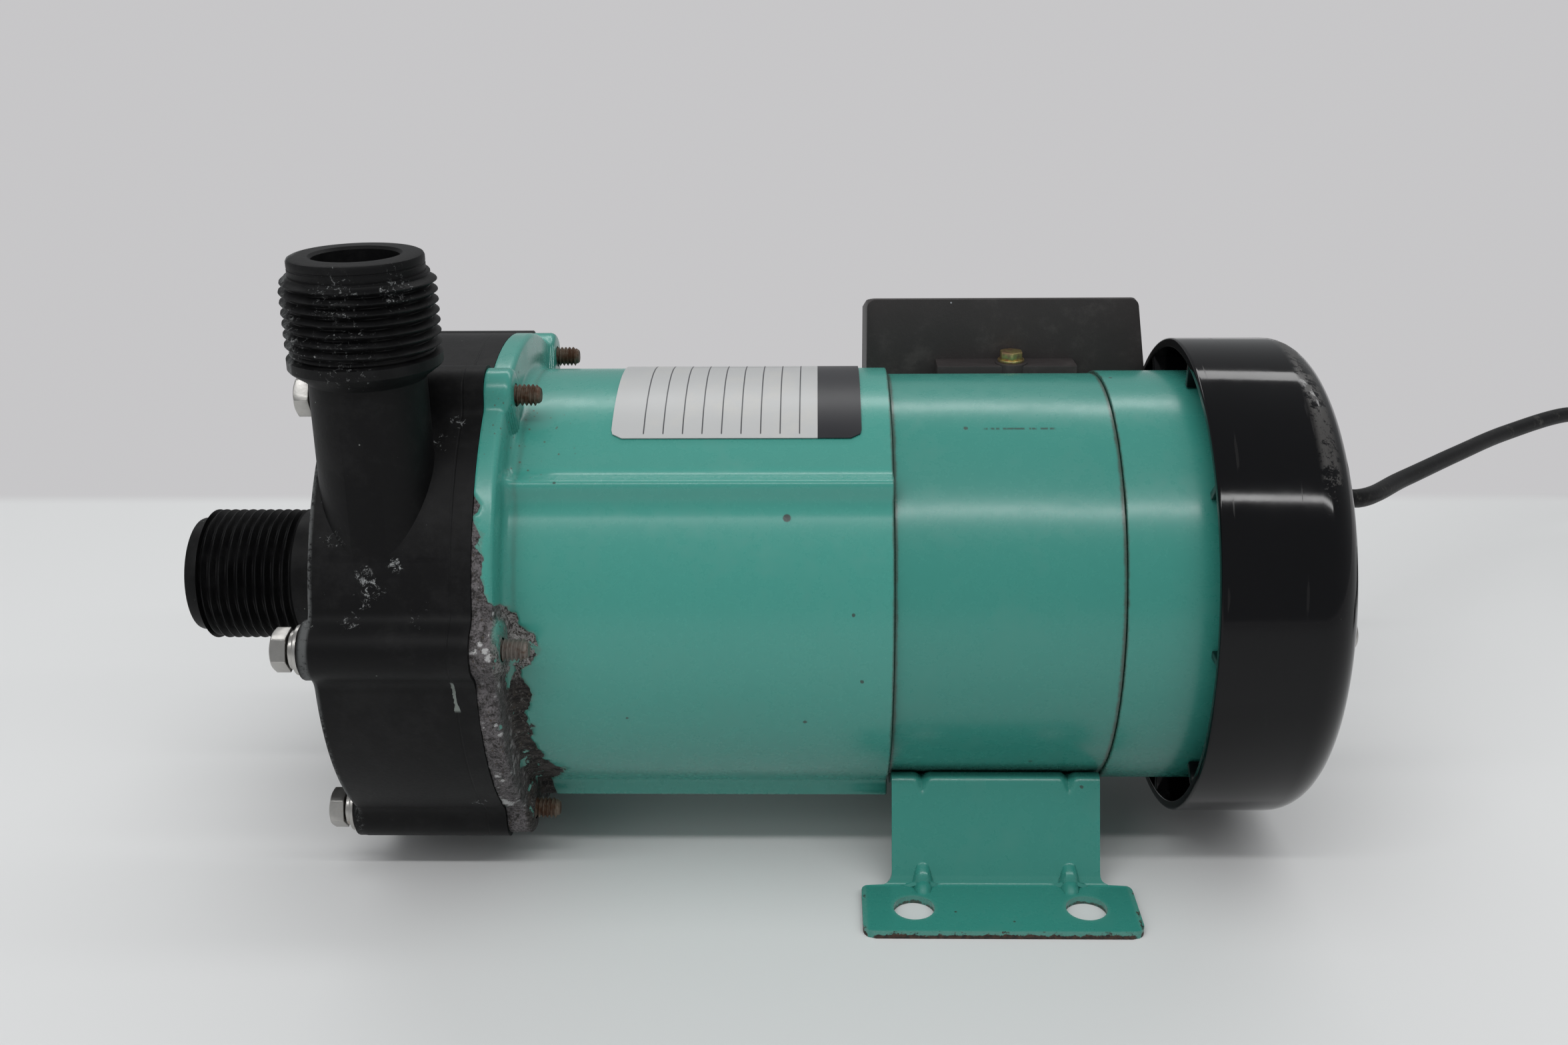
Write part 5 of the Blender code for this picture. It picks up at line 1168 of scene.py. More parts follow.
class PUMP_OT_lead(bpy.types.Operator):
    """Lays the lead from its strain relief into its coil and on to the plug"""

    bl_idname = "pump.lead"
    bl_label = "Lead and plug"

    PLUG_HALF = Vector((0.0168, 0.0127, 0.0060))
    PLUG_EDGE = 0.0022
    PLUG_TAPER = 1.3
    NECK_WIDTH = 0.30
    NECK_HEIGHT = 0.62
    GRIPS = (0.0010, 0.0042, 0.0074)
    GRIP_LENGTH = 0.0014
    GRIP_HALF = 0.0060
    GRIP_FOOT = 0.0054
    GRIP_TOP = 0.0062
    GRIP_EDGE = 0.0003
    SLEEVE_LENGTH = 0.0090
    RELIEF_RADIUS = 0.0050
    RELIEF_RINGS = 6
    RELIEF_END = 0.0029

    def execute(self, context):
        plug = self.plug()
        self.relief()
        line = lead_points()
        curve = bpy.data.curves.new("mains_lead", "CURVE")
        curve.dimensions = "3D"
        curve.bevel_depth = LEAD_RADIUS
        curve.bevel_resolution = 4
        curve.use_fill_caps = True
        spline = curve.splines.new("POLY")
        spline.points.add(len(line) - 1)
        for point, place in zip(spline.points, line):
            point.co = (*place, 1.0)
        lead = bpy.data.objects.new("mains_lead", curve)
        context.scene.collection.objects.link(lead)
        dress(lead, "lead_sheath", "lead", *CORD_NODES)
        tuple(line[0])
        length_of(line)
        return {"FINISHED"}

    def plug(self):
        """Moulded plug: a flat body that narrows to the lead, with grip ribs and a ribbed sleeve."""
        body = middle("plug_body")
        pins = (middle("plug_pin_left") + middle("plug_pin_right")) / 2
        way = (pins - body).normalized()
        half = self.PLUG_HALF.x
        plug = block("plug_moulding", -self.PLUG_HALF, self.PLUG_HALF, Matrix())
        edit(plug, "VERT")
        bpy.ops.mesh.subdivide(number_cuts=5)
        leave()
        for vertex in plug.data.vertices:
            share = ease((vertex.co.x + half) / (self.PLUG_TAPER * half))
            vertex.co.y *= self.NECK_WIDTH + (1 - self.NECK_WIDTH) * share
            vertex.co.z *= self.NECK_HEIGHT + (1 - self.NECK_HEIGHT) * share
        bevel(plug, self.PLUG_EDGE, 3, 50)
        finish(plug, "SUBSURF", levels=1, render_levels=1)
        for side in (-1, 1):
            for start in self.GRIPS:
                weld(plug, self.grip(start, side))
        weld(plug, self.sleeve(-half))
        plug.data.transform(Matrix.Translation(body) @ Matrix.Rotation(math.atan2(way.y, way.x), 4, "Z"))
        smooth(plug, 50)
        return dress(plug, "lead_sheath", "lead", "plug_body")

    def grip(self, start, side):
        low = (start, -self.GRIP_HALF, self.GRIP_FOOT)
        grip = block("grip", low, (start + self.GRIP_LENGTH, self.GRIP_HALF, self.GRIP_TOP), Matrix())
        bevel(grip, self.GRIP_EDGE, 2)
        grip.data.transform(Matrix.Diagonal((1, 1, side, 1)))
        point_out(grip)
        return grip

    def sleeve(self, start):
        """Short ringed neck between the plug and its lead."""
        end = start + self.SLEEVE_LENGTH
        corners = [(start - 0.0001, 0.0, 0), (start - 0.0001, 0.0031, 0.0003)]
        for ring in range(3):
            station = start + 0.0012 + 0.0022 * ring
            radius = 0.0034 + 0.0003 * ring
            corners += groove(station, (0.0003, 0.0008, 0.0011), radius, 0.0007, 0.0001, 0.0001)
        corners += [(end, 0.0040, 0), (end, 0.0, 0)]
        return lathed("plug_sleeve", corners, 2, 40, Matrix())

    def relief(self):
        """Tapered sleeve with rings moulded round it, where the lead leaves the box."""
        low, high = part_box("strain_relief")
        place = Matrix.Translation((low.x, (low.y + high.y) / 2, (low.z + high.z) / 2))
        length = high.x - low.x
        wide = self.RELIEF_RADIUS
        corners = [(0, 0, 0), (0, wide, 0), (0.0026, wide, 0.0005), (0.0030, 0.0041, 0.0003)]
        for ring in range(self.RELIEF_RINGS):
            waist = 0.0040 - 0.00017 * ring
            station = 0.0050 + 0.0028 * ring
            corners += groove(station, (0.0004, 0.0011, 0.0015), waist, 0.0006, -0.00005, 0.0002)
        corners += [(length, self.RELIEF_END, 0.0004), (length, 0, 0)]
        sleeve = lathed("lead_sleeve", corners, 2, 40, place)
        dress(sleeve, "relief_rubber", "seal", "strain_relief")


# The pump


class PUMP_OT_casing(bpy.types.Operator):
    """Moulds the front casing with its threaded inlet and outlet"""

    bl_idname = "pump.casing"
    bl_label = "Pump casing"

    RIM_SAMPLES = 720
    RIM_EDGE = 0.0007
    PAD_RADIUS = BOSS_RADIUS - 0.00006
    PAD_ROOT = CASING_FRONT + 0.0020
    PAD_EDGE = 0.0004
    BOLT_HOLE = 0.0023
    INLET_TURNS = 10.3
    OUTLET_TURNS = 7.6
    SEAL_LEDGE = 0.0036

    def execute(self, context):
        sizes = context.scene.pump_sizes
        angles = np.linspace(0, math.tau, self.RIM_SAMPLES, endpoint=False)
        radii = outermost(MouldedRim(angles))
        rim = [around(r, a, CASING_FRONT) for r, a in zip(radii, angles)]
        casing = extruded("casing_moulding", rim, (CASING_REAR - CASING_FRONT, 0, 0))
        edit(casing, "EDGE")
        front = AXLE.x + CASING_FRONT
        choose(casing, lambda edge: all(abs(v.co.x - front) < WELD for v in edge.verts), "edges")
        bpy.ops.mesh.bevel(offset=self.RIM_EDGE, segments=3, affect="EDGES")
        leave()
        tools = [self.inlet(sizes), self.outlet(sizes)]
        for pad in at_bolts("pad", BOSS_FRONT, self.PAD_ROOT, self.PAD_RADIUS, 48):
            tools.append(bevel(pad, self.PAD_EDGE, 2))
        weld(casing, joined(tools))
        cut(casing, self.chamber())
        cut(casing, joined(self.bores()))
        weld(casing, self.spindle_support())
        smooth(casing, 30)
        dress(casing, "casing_plastic", "casing_black", "front_casing")
        return {"FINISHED"}

    def inlet(self, sizes):
        collar_end = INLET_END + COLLAR_LENGTH
        start = collar_end + 0.0001
        end = start + self.INLET_TURNS * sizes.thread_pitch
        flare = INLET_NECK + 0.0009
        profile = [
            (INLET_END, 0.0),
            (INLET_END, COLLAR - 0.0005),
            (INLET_END + 0.00015, COLLAR - 0.00015),
            (INLET_END + 0.0005, COLLAR),
            (collar_end - 0.0003, COLLAR),
            (collar_end, sizes.thread_radius - sizes.thread_depth),
            *thread_line(start, end, sizes.thread_radius, sizes.thread_pitch),
            (end + 0.0003, INLET_NECK),
            (CASING_FRONT - 0.0009, INLET_NECK),
            (CASING_FRONT - 0.0004, INLET_NECK + 0.00015),
            (CASING_FRONT - 0.0001, INLET_NECK + 0.00045),
            (CASING_FRONT, flare),
            (CASING_FRONT + 0.0015, flare),
            (CASING_FRONT + 0.0015, 0.0),
        ]
        ridges = thread(start, end, sizes.thread_radius, sizes.thread_depth, sizes.thread_pitch)
        return turned("inlet", profile, 128, ridges, closed=False)

    def outlet(self, sizes):
        """The upright pipe, drawn along the shaft and then stood up."""
        top = OUTLET_TOP
        end = top - COLLAR_LENGTH - 0.0001
        start = end - self.OUTLET_TURNS * sizes.thread_pitch
        ring = start - 0.0020
        cone = ring - 0.0023
        foot = 0.0100
        crest = sizes.thread_radius
        line_cut = COLLAR - 0.00012
        profile = [
            (foot, 0.0),
            (foot, OUTLET_NECK + 0.0001),
            (cone - 0.0004, OUTLET_NECK - 0.0001),
            (cone + 0.0002, OUTLET_NECK + 0.0004),
            (ring - 0.0004, crest - 0.0003),
            (ring, crest),
            (start - 0.0003, crest),
            (start, crest - sizes.thread_depth),
            *thread_line(start + 0.0001, end, crest, sizes.thread_pitch),
            (end + 0.0001, COLLAR),
            (end + 0.0012, COLLAR),
            (end + 0.0013, line_cut),
            (end + 0.0015, line_cut),
            (end + 0.0016, COLLAR),
            (top - 0.0006, COLLAR),
            (top - 0.0002, COLLAR - 0.0002),
            (top, COLLAR - 0.0006),
            (top, 0.0),
        ]
        ridges = thread(start, end, crest, sizes.thread_depth, sizes.thread_pitch)
        return turned("outlet", profile, 128, ridges, stood_up(OUTLET_STATION, OUTLET_SIDE), closed=False)

    def chamber(self):
        """Everything that is hollow round the shaft, with the chamfer of the inlet's mouth."""
        ledge = CASING_REAR - self.SEAL_LEDGE
        profile = [
            (INLET_END - BEYOND, 0.0),
            (INLET_END - BEYOND, INLET_BORE + 0.0016),
            (INLET_END + 0.0006, INLET_BORE),
            (CHAMBER_FRONT, INLET_BORE),
            (CHAMBER_FRONT, CHAMBER),
            (ledge, CHAMBER),
            (ledge, RECESS),
            (CASING_REAR + BEYOND, RECESS),
            (CASING_REAR + BEYOND, 0.0),
        ]
        return turned("chamber", profile, 96, closed=False)

    def bores(self):
        foot = 0.0050
        chamfer = 0.0005
        profile = [
            (foot, 0.0),
            (foot, OUTLET_BORE),
            (OUTLET_TOP - chamfer, OUTLET_BORE),
            (OUTLET_TOP + chamfer, OUTLET_BORE + 2 * chamfer),
            (OUTLET_TOP + chamfer, 0.0),
        ]
        upright = stood_up(OUTLET_STATION, OUTLET_SIDE)
        bore = turned("outlet_bore", profile, 64, place=upright, closed=False)
        return [bore, *at_bolts("bolt_hole", BOSS_FRONT - BEYOND, CASING_REAR + BEYOND, self.BOLT_HOLE)]

    def spindle_support(self):
        rear = CHAMBER_FRONT + 0.0026
        front = rear - 0.0050
        bore, outside = 0.0033, 0.0050
        corners = [
            (front, bore, 0.0003),
            (rear, bore, 0.0002),
            (rear, outside, 0.0002),
            (front, outside, 0.0008),
        ]
        hub = turned("spindle_support", rounded(corners, 3), 48)
        low = (front + 0.0008, -0.0092, -0.0010)
        high = (CHAMBER_FRONT - 0.0008, -0.0042, 0.0010)
        legs = [spoke("leg", low, high, 0.0004, angle) for angle in spaced(3, math.radians(90))]
        return weld(hub, joined(legs))


# How far back from the flange the casting has corroded, station against angle in degrees
CORRODED = (
    (-150, -0.0955),
    (-115, -0.0935),
    (-75, -0.0900),
    (-52, -0.0862),
    (-43, -0.0832),
    (-36, -0.0868),
    (-26, -0.0880),
    (-10, -0.0873),
    (-3, -0.0880),
    (2, -0.0850),
    (7, -0.0860),
    (11.5, -0.0890),
    (16, -0.0918),
    (24, -0.0937),
    (36, -0.0942),
    (41, -0.0962),
    (150, -0.0965),
)

# The corroded edge: the width over which it fades, and the size and strength of its raggedness
FADE = 0.0012
RAGGED_SIZE = 0.0030
RAGGED_STRENGTH = 1.1
RAGGED_REACH = 2.5
EDGE_RADIUS = 0.045

# Size, strength and mean depth of the lumps inside the corroded area
LUMP_SIZE = 0.0015
LUMP_HEIGHT = 0.00032
LUMP_DEPTH = 0.00030


def on_casting(along, angle, radius):
    """A point of the casting, for the corrosion's noise."""
    return Vector((along, math.cos(angle) * radius, math.sin(angle) * radius))


def corrosion(along, angle):
    """1 inside the corroded area, 0 outside it, with a ragged edge."""
    turns, stations = zip(*CORRODED)
    limit = np.interp(np.degrees(angle), turns, stations)
    depth = (limit - along) / FADE
    for index in np.nonzero(depth > -RAGGED_REACH)[0]:
        spot = on_casting(along[index], angle[index], EDGE_RADIUS)
        depth[index] += RAGGED_STRENGTH * noise.fractal(spot / RAGGED_SIZE, 0.8, 2.0, 4)
    return np.clip(depth + 0.5, 0.0, 1.0)


class PUMP_OT_bracket(bpy.types.Operator):
    """Casts the bracket with its flange, lugs and square ribs"""

    bl_idname = "pump.bracket"
    bl_label = "Motor bracket"

    FACE = BRACKET_FRONT - 0.00024
    BORE = BODY_RADIUS - 0.0043
    SEAT = HOUSING_RADIUS - 0.0014
    DIVIDER = BRACKET_REAR - 0.0204
    DIVIDER_WALL = 0.0032
    HUB_LENGTH = 0.0108
    HUB_OUTSIDE = 0.0151
    BEARING_BORE = 0.0114
    SHAFT_HOLE = 0.0062
    LUG_HOLE = 0.0022

    def execute(self, context):
        bracket = turned("bracket_casting", self.outside() + self.inside(), 600, self.surface)
        cut(bracket, joined(at_bolts("lug_hole", BRACKET_FRONT - BEYOND, LUG_REAR + 0.003, self.LUG_HOLE)))
        smooth(bracket, 42)
        self.mark(bracket)
        dress(bracket, "bracket_paint", "motor_green", "bracket")
        return {"FINISHED"}

    def outside(self):
        """Stations along the casting, close together where its fillets are."""
        stations = [
            *np.arange(self.FACE + 0.0001, FLANGE_REAR - 0.0018, 0.00042),
            *np.arange(FLANGE_REAR - 0.0016, LUG_REAR + 0.0026, 0.00014),
            *np.linspace(LUG_REAR + 0.0030, LUG_REAR + 0.0080, 11),
            *np.linspace(LUG_REAR + 0.0120, BRACKET_REAR - 0.0002, 9),
        ]
        return [(station, BODY_RADIUS) for station in stations]

    def inside(self):
        """Seat of the motor, hub of the bearing and bore of the magnets' side, from the rear."""
        divider = self.DIVIDER
        wall = divider + self.DIVIDER_WALL
        hub = divider + self.HUB_LENGTH
        return [
            (BRACKET_REAR, BODY_RADIUS - 0.0005),
            (BRACKET_REAR, self.SEAT),
            (wall, self.SEAT),
            (wall, self.HUB_OUTSIDE),
            (hub, self.HUB_OUTSIDE),
            (hub, self.BEARING_BORE),
            (wall, self.BEARING_BORE),
            (wall, self.SHAFT_HOLE),
            (divider, self.SHAFT_HOLE),
            (divider, self.BORE),
            (self.FACE, self.BORE),
            (self.FACE, BODY_RADIUS - 0.0001),
        ]

    def surface(self, along, radius, angle):
        """Distance from the shaft: the casting's own outside, eaten into lumps where it has corroded."""
        casting = outermost(CastBracket(along, angle))
        rim = np.where(along < BRACKET_FRONT - 0.0002, casting - 0.00006, casting)
        rim = np.where(along > BRACKET_REAR - 0.0001, casting - 0.00022, rim)
        outside = radius > BODY_RADIUS - 0.0006
        eaten = np.zeros_like(along)
        eaten[outside] = corrosion(along[outside], angle[outside])
        for index in np.nonzero(eaten > 0.05)[0]:
            spot = on_casting(along[index], angle[index], rim[index])
            lumps = noise.fractal(spot / LUMP_SIZE, 0.9, 2.0, 3)
            rim[index] += eaten[index] * (LUMP_HEIGHT * lumps - LUMP_DEPTH)
        return np.where(outside, rim, radius)

    def mark(self, bracket):
        """Writes how corroded each point is into an attribute that the paint reads."""
        spots = spots_of(bracket.data) - np.array(AXLE)
        angle = np.arctan2(spots[:, 2], -spots[:, 1])
        eaten = corrosion(spots[:, 0].copy(), angle)
        layer = bracket.data.attributes.new("corrosion", "FLOAT", "POINT")
        layer.data.foreach_set("value", eaten)


class PUMP_OT_motor(bpy.types.Operator):
    """Turns the stator housing and the rear end bracket"""

    bl_idname = "pump.motor"
    bl_label = "Motor shell"

    LIP = 0.00018
    SHELL = 0.0016
    END_WALL = 0.0034
    END_SHELL = 0.0026
    END_EDGE = 0.0050
    HUB_LENGTH = 0.0076
    HUB_OUTSIDE = 0.0151
    BEARING_BORE = 0.0113
    SHAFT_HOLE = 0.0062
    POST_RADIUS = 0.0034
    POST_ROOT = 0.0017
    POST_HOLE_DEPTH = 0.0080

    def execute(self, context):
        wall = HOUSING_RADIUS - self.SHELL
        front = HOUSING_FRONT - self.LIP
        rear = HOUSING_REAR + self.LIP
        corners = [
            (front, wall, 0),
            (front, HOUSING_RADIUS, 0.00015),
            (rear, HOUSING_RADIUS, 0.00015),
            (rear, wall, 0),
        ]
        housing = turned("housing_shell", rounded(corners, 3), 160)
        dress(housing, "motor_paint", "motor_green", "stator_housing")
        self.end_bracket()
        return {"FINISHED"}

    def end_bracket(self):
        stop = END_REAR - self.END_WALL
        hub = stop - self.HUB_LENGTH
        bore = END_RADIUS - self.END_SHELL
        corners = [
            (END_FRONT, bore, 0),
            (END_FRONT, END_RADIUS, 0.00025),
            (END_REAR, END_RADIUS, self.END_EDGE),
            (END_REAR, self.SHAFT_HOLE, 0.0004),
            (stop, self.SHAFT_HOLE, 0),
            (stop, self.BEARING_BORE, 0),
            (hub, self.BEARING_BORE, 0),
            (hub, self.HUB_OUTSIDE, 0),
            (stop, self.HUB_OUTSIDE, 0),
            (stop, bore, 0.0015),
        ]
        end = turned("end_bracket_casting", rounded(corners, 6), 160)
        weld(end, joined(at_screws("post", END_REAR - self.POST_ROOT, POST_END, self.POST_RADIUS, 32)))
        holes = at_screws("post_hole", POST_END - self.POST_HOLE_DEPTH, POST_END + BEYOND, SCREW_HOLE, 20)
        cut(end, joined(holes))
        smooth(end)
        dress(end, "motor_paint", "motor_green", "rear_end_bracket")


class PUMP_OT_fan_cover(bpy.types.Operator):
    """Moulds the glossy fan cover with its inner ribs, air slots and screws"""

    bl_idname = "pump.fan_cover"
    bl_label = "Fan cover"

    OUTER_EDGE = 0.0075
    INNER_EDGE = 0.0057
    RIB_HALF = 0.0008
    SLOT_ENDS = (0.0130, 0.0270)
    SLOT_HALF = 0.0015
    SLOT_EDGE = 0.0014
    SHANK = 0.0015
    HEAD = 0.0028
    CROSS_HALF = (0.0014, 0.00025)
    CROSS_DEPTH = 0.0006

    def execute(self, context):
        sizes = context.scene.pump_sizes
        wall = sizes.cover_wall
        back = COVER_REAR - wall
        corners = [
            (back, 0.0, 0),
            (back, COVER_RADIUS - wall, self.INNER_EDGE),
            (COVER_FRONT, COVER_RADIUS - wall, 0.0003),
            (COVER_FRONT, COVER_RADIUS, 0.0006),
            (COVER_REAR, COVER_RADIUS, self.OUTER_EDGE),
            (COVER_REAR, 0.0, 0),
        ]
        cover = lathed("cover_moulding", corners, 10, 192)
        low = (COVER_FRONT + 0.0002, -(COVER_RADIUS - wall / 2), -self.RIB_HALF)
        high = (COVER_REAR - self.OUTER_EDGE, -(END_RADIUS + GAP), self.RIB_HALF)
        ribs = [spoke("rib", low, high, 0.00025, angle) for angle in spaced(9, math.radians(1.3))]
        weld(cover, joined(ribs))
        cut(cover, joined(self.slots(sizes.cover_slots, back)))
        smooth(cover)
        dress(cover, "cover_plastic", "cover_black", "fan_cover")
        for number, node in enumerate(COVER_SCREWS, 1):
            self.screw(number, node)
        return {"FINISHED"}

    def slots(self, count, back):
        """What cuts the air slots and the screws' holes out of the cover's rear face."""
        half, edge = self.SLOT_HALF, self.SLOT_EDGE
        inner, outer = self.SLOT_ENDS
        corners = [(inner, -half, edge), (outer, -half, edge), (outer, half, edge), (inner, half, edge)]
        front = back - BEYOND
        points = [Vector((front, -a, b)) for a, b in rounded(corners, 6)]
        tools = []
        for angle in spaced(count, math.radians(18)):
            slot = extruded("slot", points, (COVER_REAR - back + 2 * BEYOND, 0, 0), Matrix())
            slot.data.transform(ON_SHAFT @ Matrix.Rotation(-angle, 4, "X"))
            tools.append(slot)
        return tools + at_screws("screw_hole", front, COVER_REAR + BEYOND, SCREW_HOLE, 24)

    def screw(self, number, node):
        """Pan head screw with a cross recess."""
        low, high = reach(node, 0)
        seat = COVER_REAR + GAP
        corners = [
            (low, 0.0, 0),
            (low + 0.0012, self.SHANK, 0),
            (seat, self.SHANK, 0),
            (seat, self.HEAD, 0.0002),
            (high, self.HEAD, 0.0008),
            (high, 0.0, 0),
        ]
        place = beside(middle(node) - AXLE)
        screw = lathed(f"cover_screw_{number}", corners, 5, 40, place)
        long, wide = self.CROSS_HALF
        for turn in (0.3, 0.3 + math.pi / 2):
            bottom = (high - self.CROSS_DEPTH, -long, -wide)
            arm = block("recess", bottom, (high + BEYOND, long, wide), Matrix())
            arm.data.transform(place @ Matrix.Rotation(turn + number, 4, "X"))
            cut(screw, arm)
        smooth(screw)
        dress(screw, "bright_steel", "steel", node)


class PUMP_OT_bolts(bpy.types.Operator):
    """Makes the six casing bolts with their flat and spring washers"""

    bl_idname = "pump.bolts"
    bl_label = "Casing bolts"

    HEAD_HEIGHT = 0.0029
    THREAD_PITCH = 0.0008
    THREAD_DEPTH = 0.00050
    FLAT_RADIUS = 0.0045
    FLAT_THICKNESS = 0.0008
    SPRING_RADIUS = 0.0035

    def execute(self, context):
        sizes = context.scene.pump_sizes
        home = middle("casing_washer_1")
        place = beside(home - AXLE)
        patterns = (
            (self.bolt(sizes, place), "hex_bolt", "bolt_steel", "casing_bolt"),
            (self.washers(sizes, place), "washers", "bright_steel", "casing_washer"),
        )
        for number in BOLTS:
            centre = middle(f"casing_washer_{number}")
            turn = Matrix.Rotation(0.35 + 1.9 * number, 4, "X")
            from_home = Matrix.Translation((0, -home.y, -home.z))
            move = Matrix.Translation((0, centre.y, centre.z)) @ turn @ from_home
            for pattern, name, finish_name, node in patterns:
                piece = bpy.data.objects.new(f"{name}_{number}", pattern.data.copy())
                context.scene.collection.objects.link(piece)
                piece.data.transform(move)
                dress(piece, finish_name, "steel", f"{node}_{number}")
        for pattern, *_ in patterns:
            bpy.data.objects.remove(pattern, do_unlink=True)
        return {"FINISHED"}

    def bolt(self, sizes, place):
        """Hexagon head with chamfered corners on a shank whose end is threaded."""
        head_rear = BOLT_HEAD_FRONT + self.HEAD_HEIGHT
        corner = sizes.bolt_flats / math.sqrt(3)
        points = [Vector((BOLT_HEAD_FRONT, corner * math.cos(a), corner * math.sin(a))) for a in spaced(6)]
        head = extruded("hex_bolt", points, (head_rear - BOLT_HEAD_FRONT, 0, 0), place)
        crown = [
            (BOLT_HEAD_FRONT, 0.0),
            (BOLT_HEAD_FRONT, sizes.bolt_flats / 2 - 0.0002),
            (BOLT_HEAD_FRONT + 0.00045, corner + 0.0001),
            (head_rear, corner + 0.0001),
            (head_rear, 0.0),
        ]
        boolean(head, turned("crown", crown, 64, place=place, closed=False), "INTERSECT")
        bevel(head, 0.00012, 2, 25)
        radius = sizes.bolt_radius
        inside_head = head_rear - 0.0010
        start = BRACKET_FRONT
        end = BOLT_TAIL - 0.0004
        profile = [
            (inside_head, 0.0),
            (inside_head, radius),
            (start - 0.0001, radius),
            *thread_line(start, end, radius, self.THREAD_PITCH),
            (end + 0.0001, radius - 0.0005),
            (BOLT_TAIL, radius - 0.0008),
            (BOLT_TAIL, 0.0),
        ]
        ridges = thread(start, end, radius, self.THREAD_DEPTH, self.THREAD_PITCH)
        return smooth(weld(head, turned("shank", profile, 40, ridges, place, closed=False)))

    def washers(self, sizes, place):
        """A flat washer and a split spring washer, one on the other."""
        low, rear = reach("casing_washer_1", 0)
        bore = sizes.bolt_radius + GAP
        step = rear - self.FLAT_THICKNESS
        first = self.washer("washers", (step, rear), bore, self.FLAT_RADIUS, (0.00025, 0.0001), place)
        ends = (low, step - 0.00003)
        second = self.washer("spring_washer", ends, bore, self.SPRING_RADIUS, (0.0002, 0.0002), place)
        gap = block("split", (low - BEYOND, 0.001, -0.0002), (step + 0.00001, 0.005, 0.0002), Matrix())
        gap.data.transform(place @ Matrix.Rotation(0.4, 4, "Z"))
        cut(second, gap)
        return smooth(joined([first, second]))

    def washer(self, name, ends, bore, outside, edges, place):
        front, rear = ends
        corners = [
            (front, bore, 0.0001),
            (front, outside, edges[0]),
            (rear, outside, edges[1]),
            (rear, bore, 0.0001),
        ]
        return turned(name, rounded(corners, 3), 48, place=place)


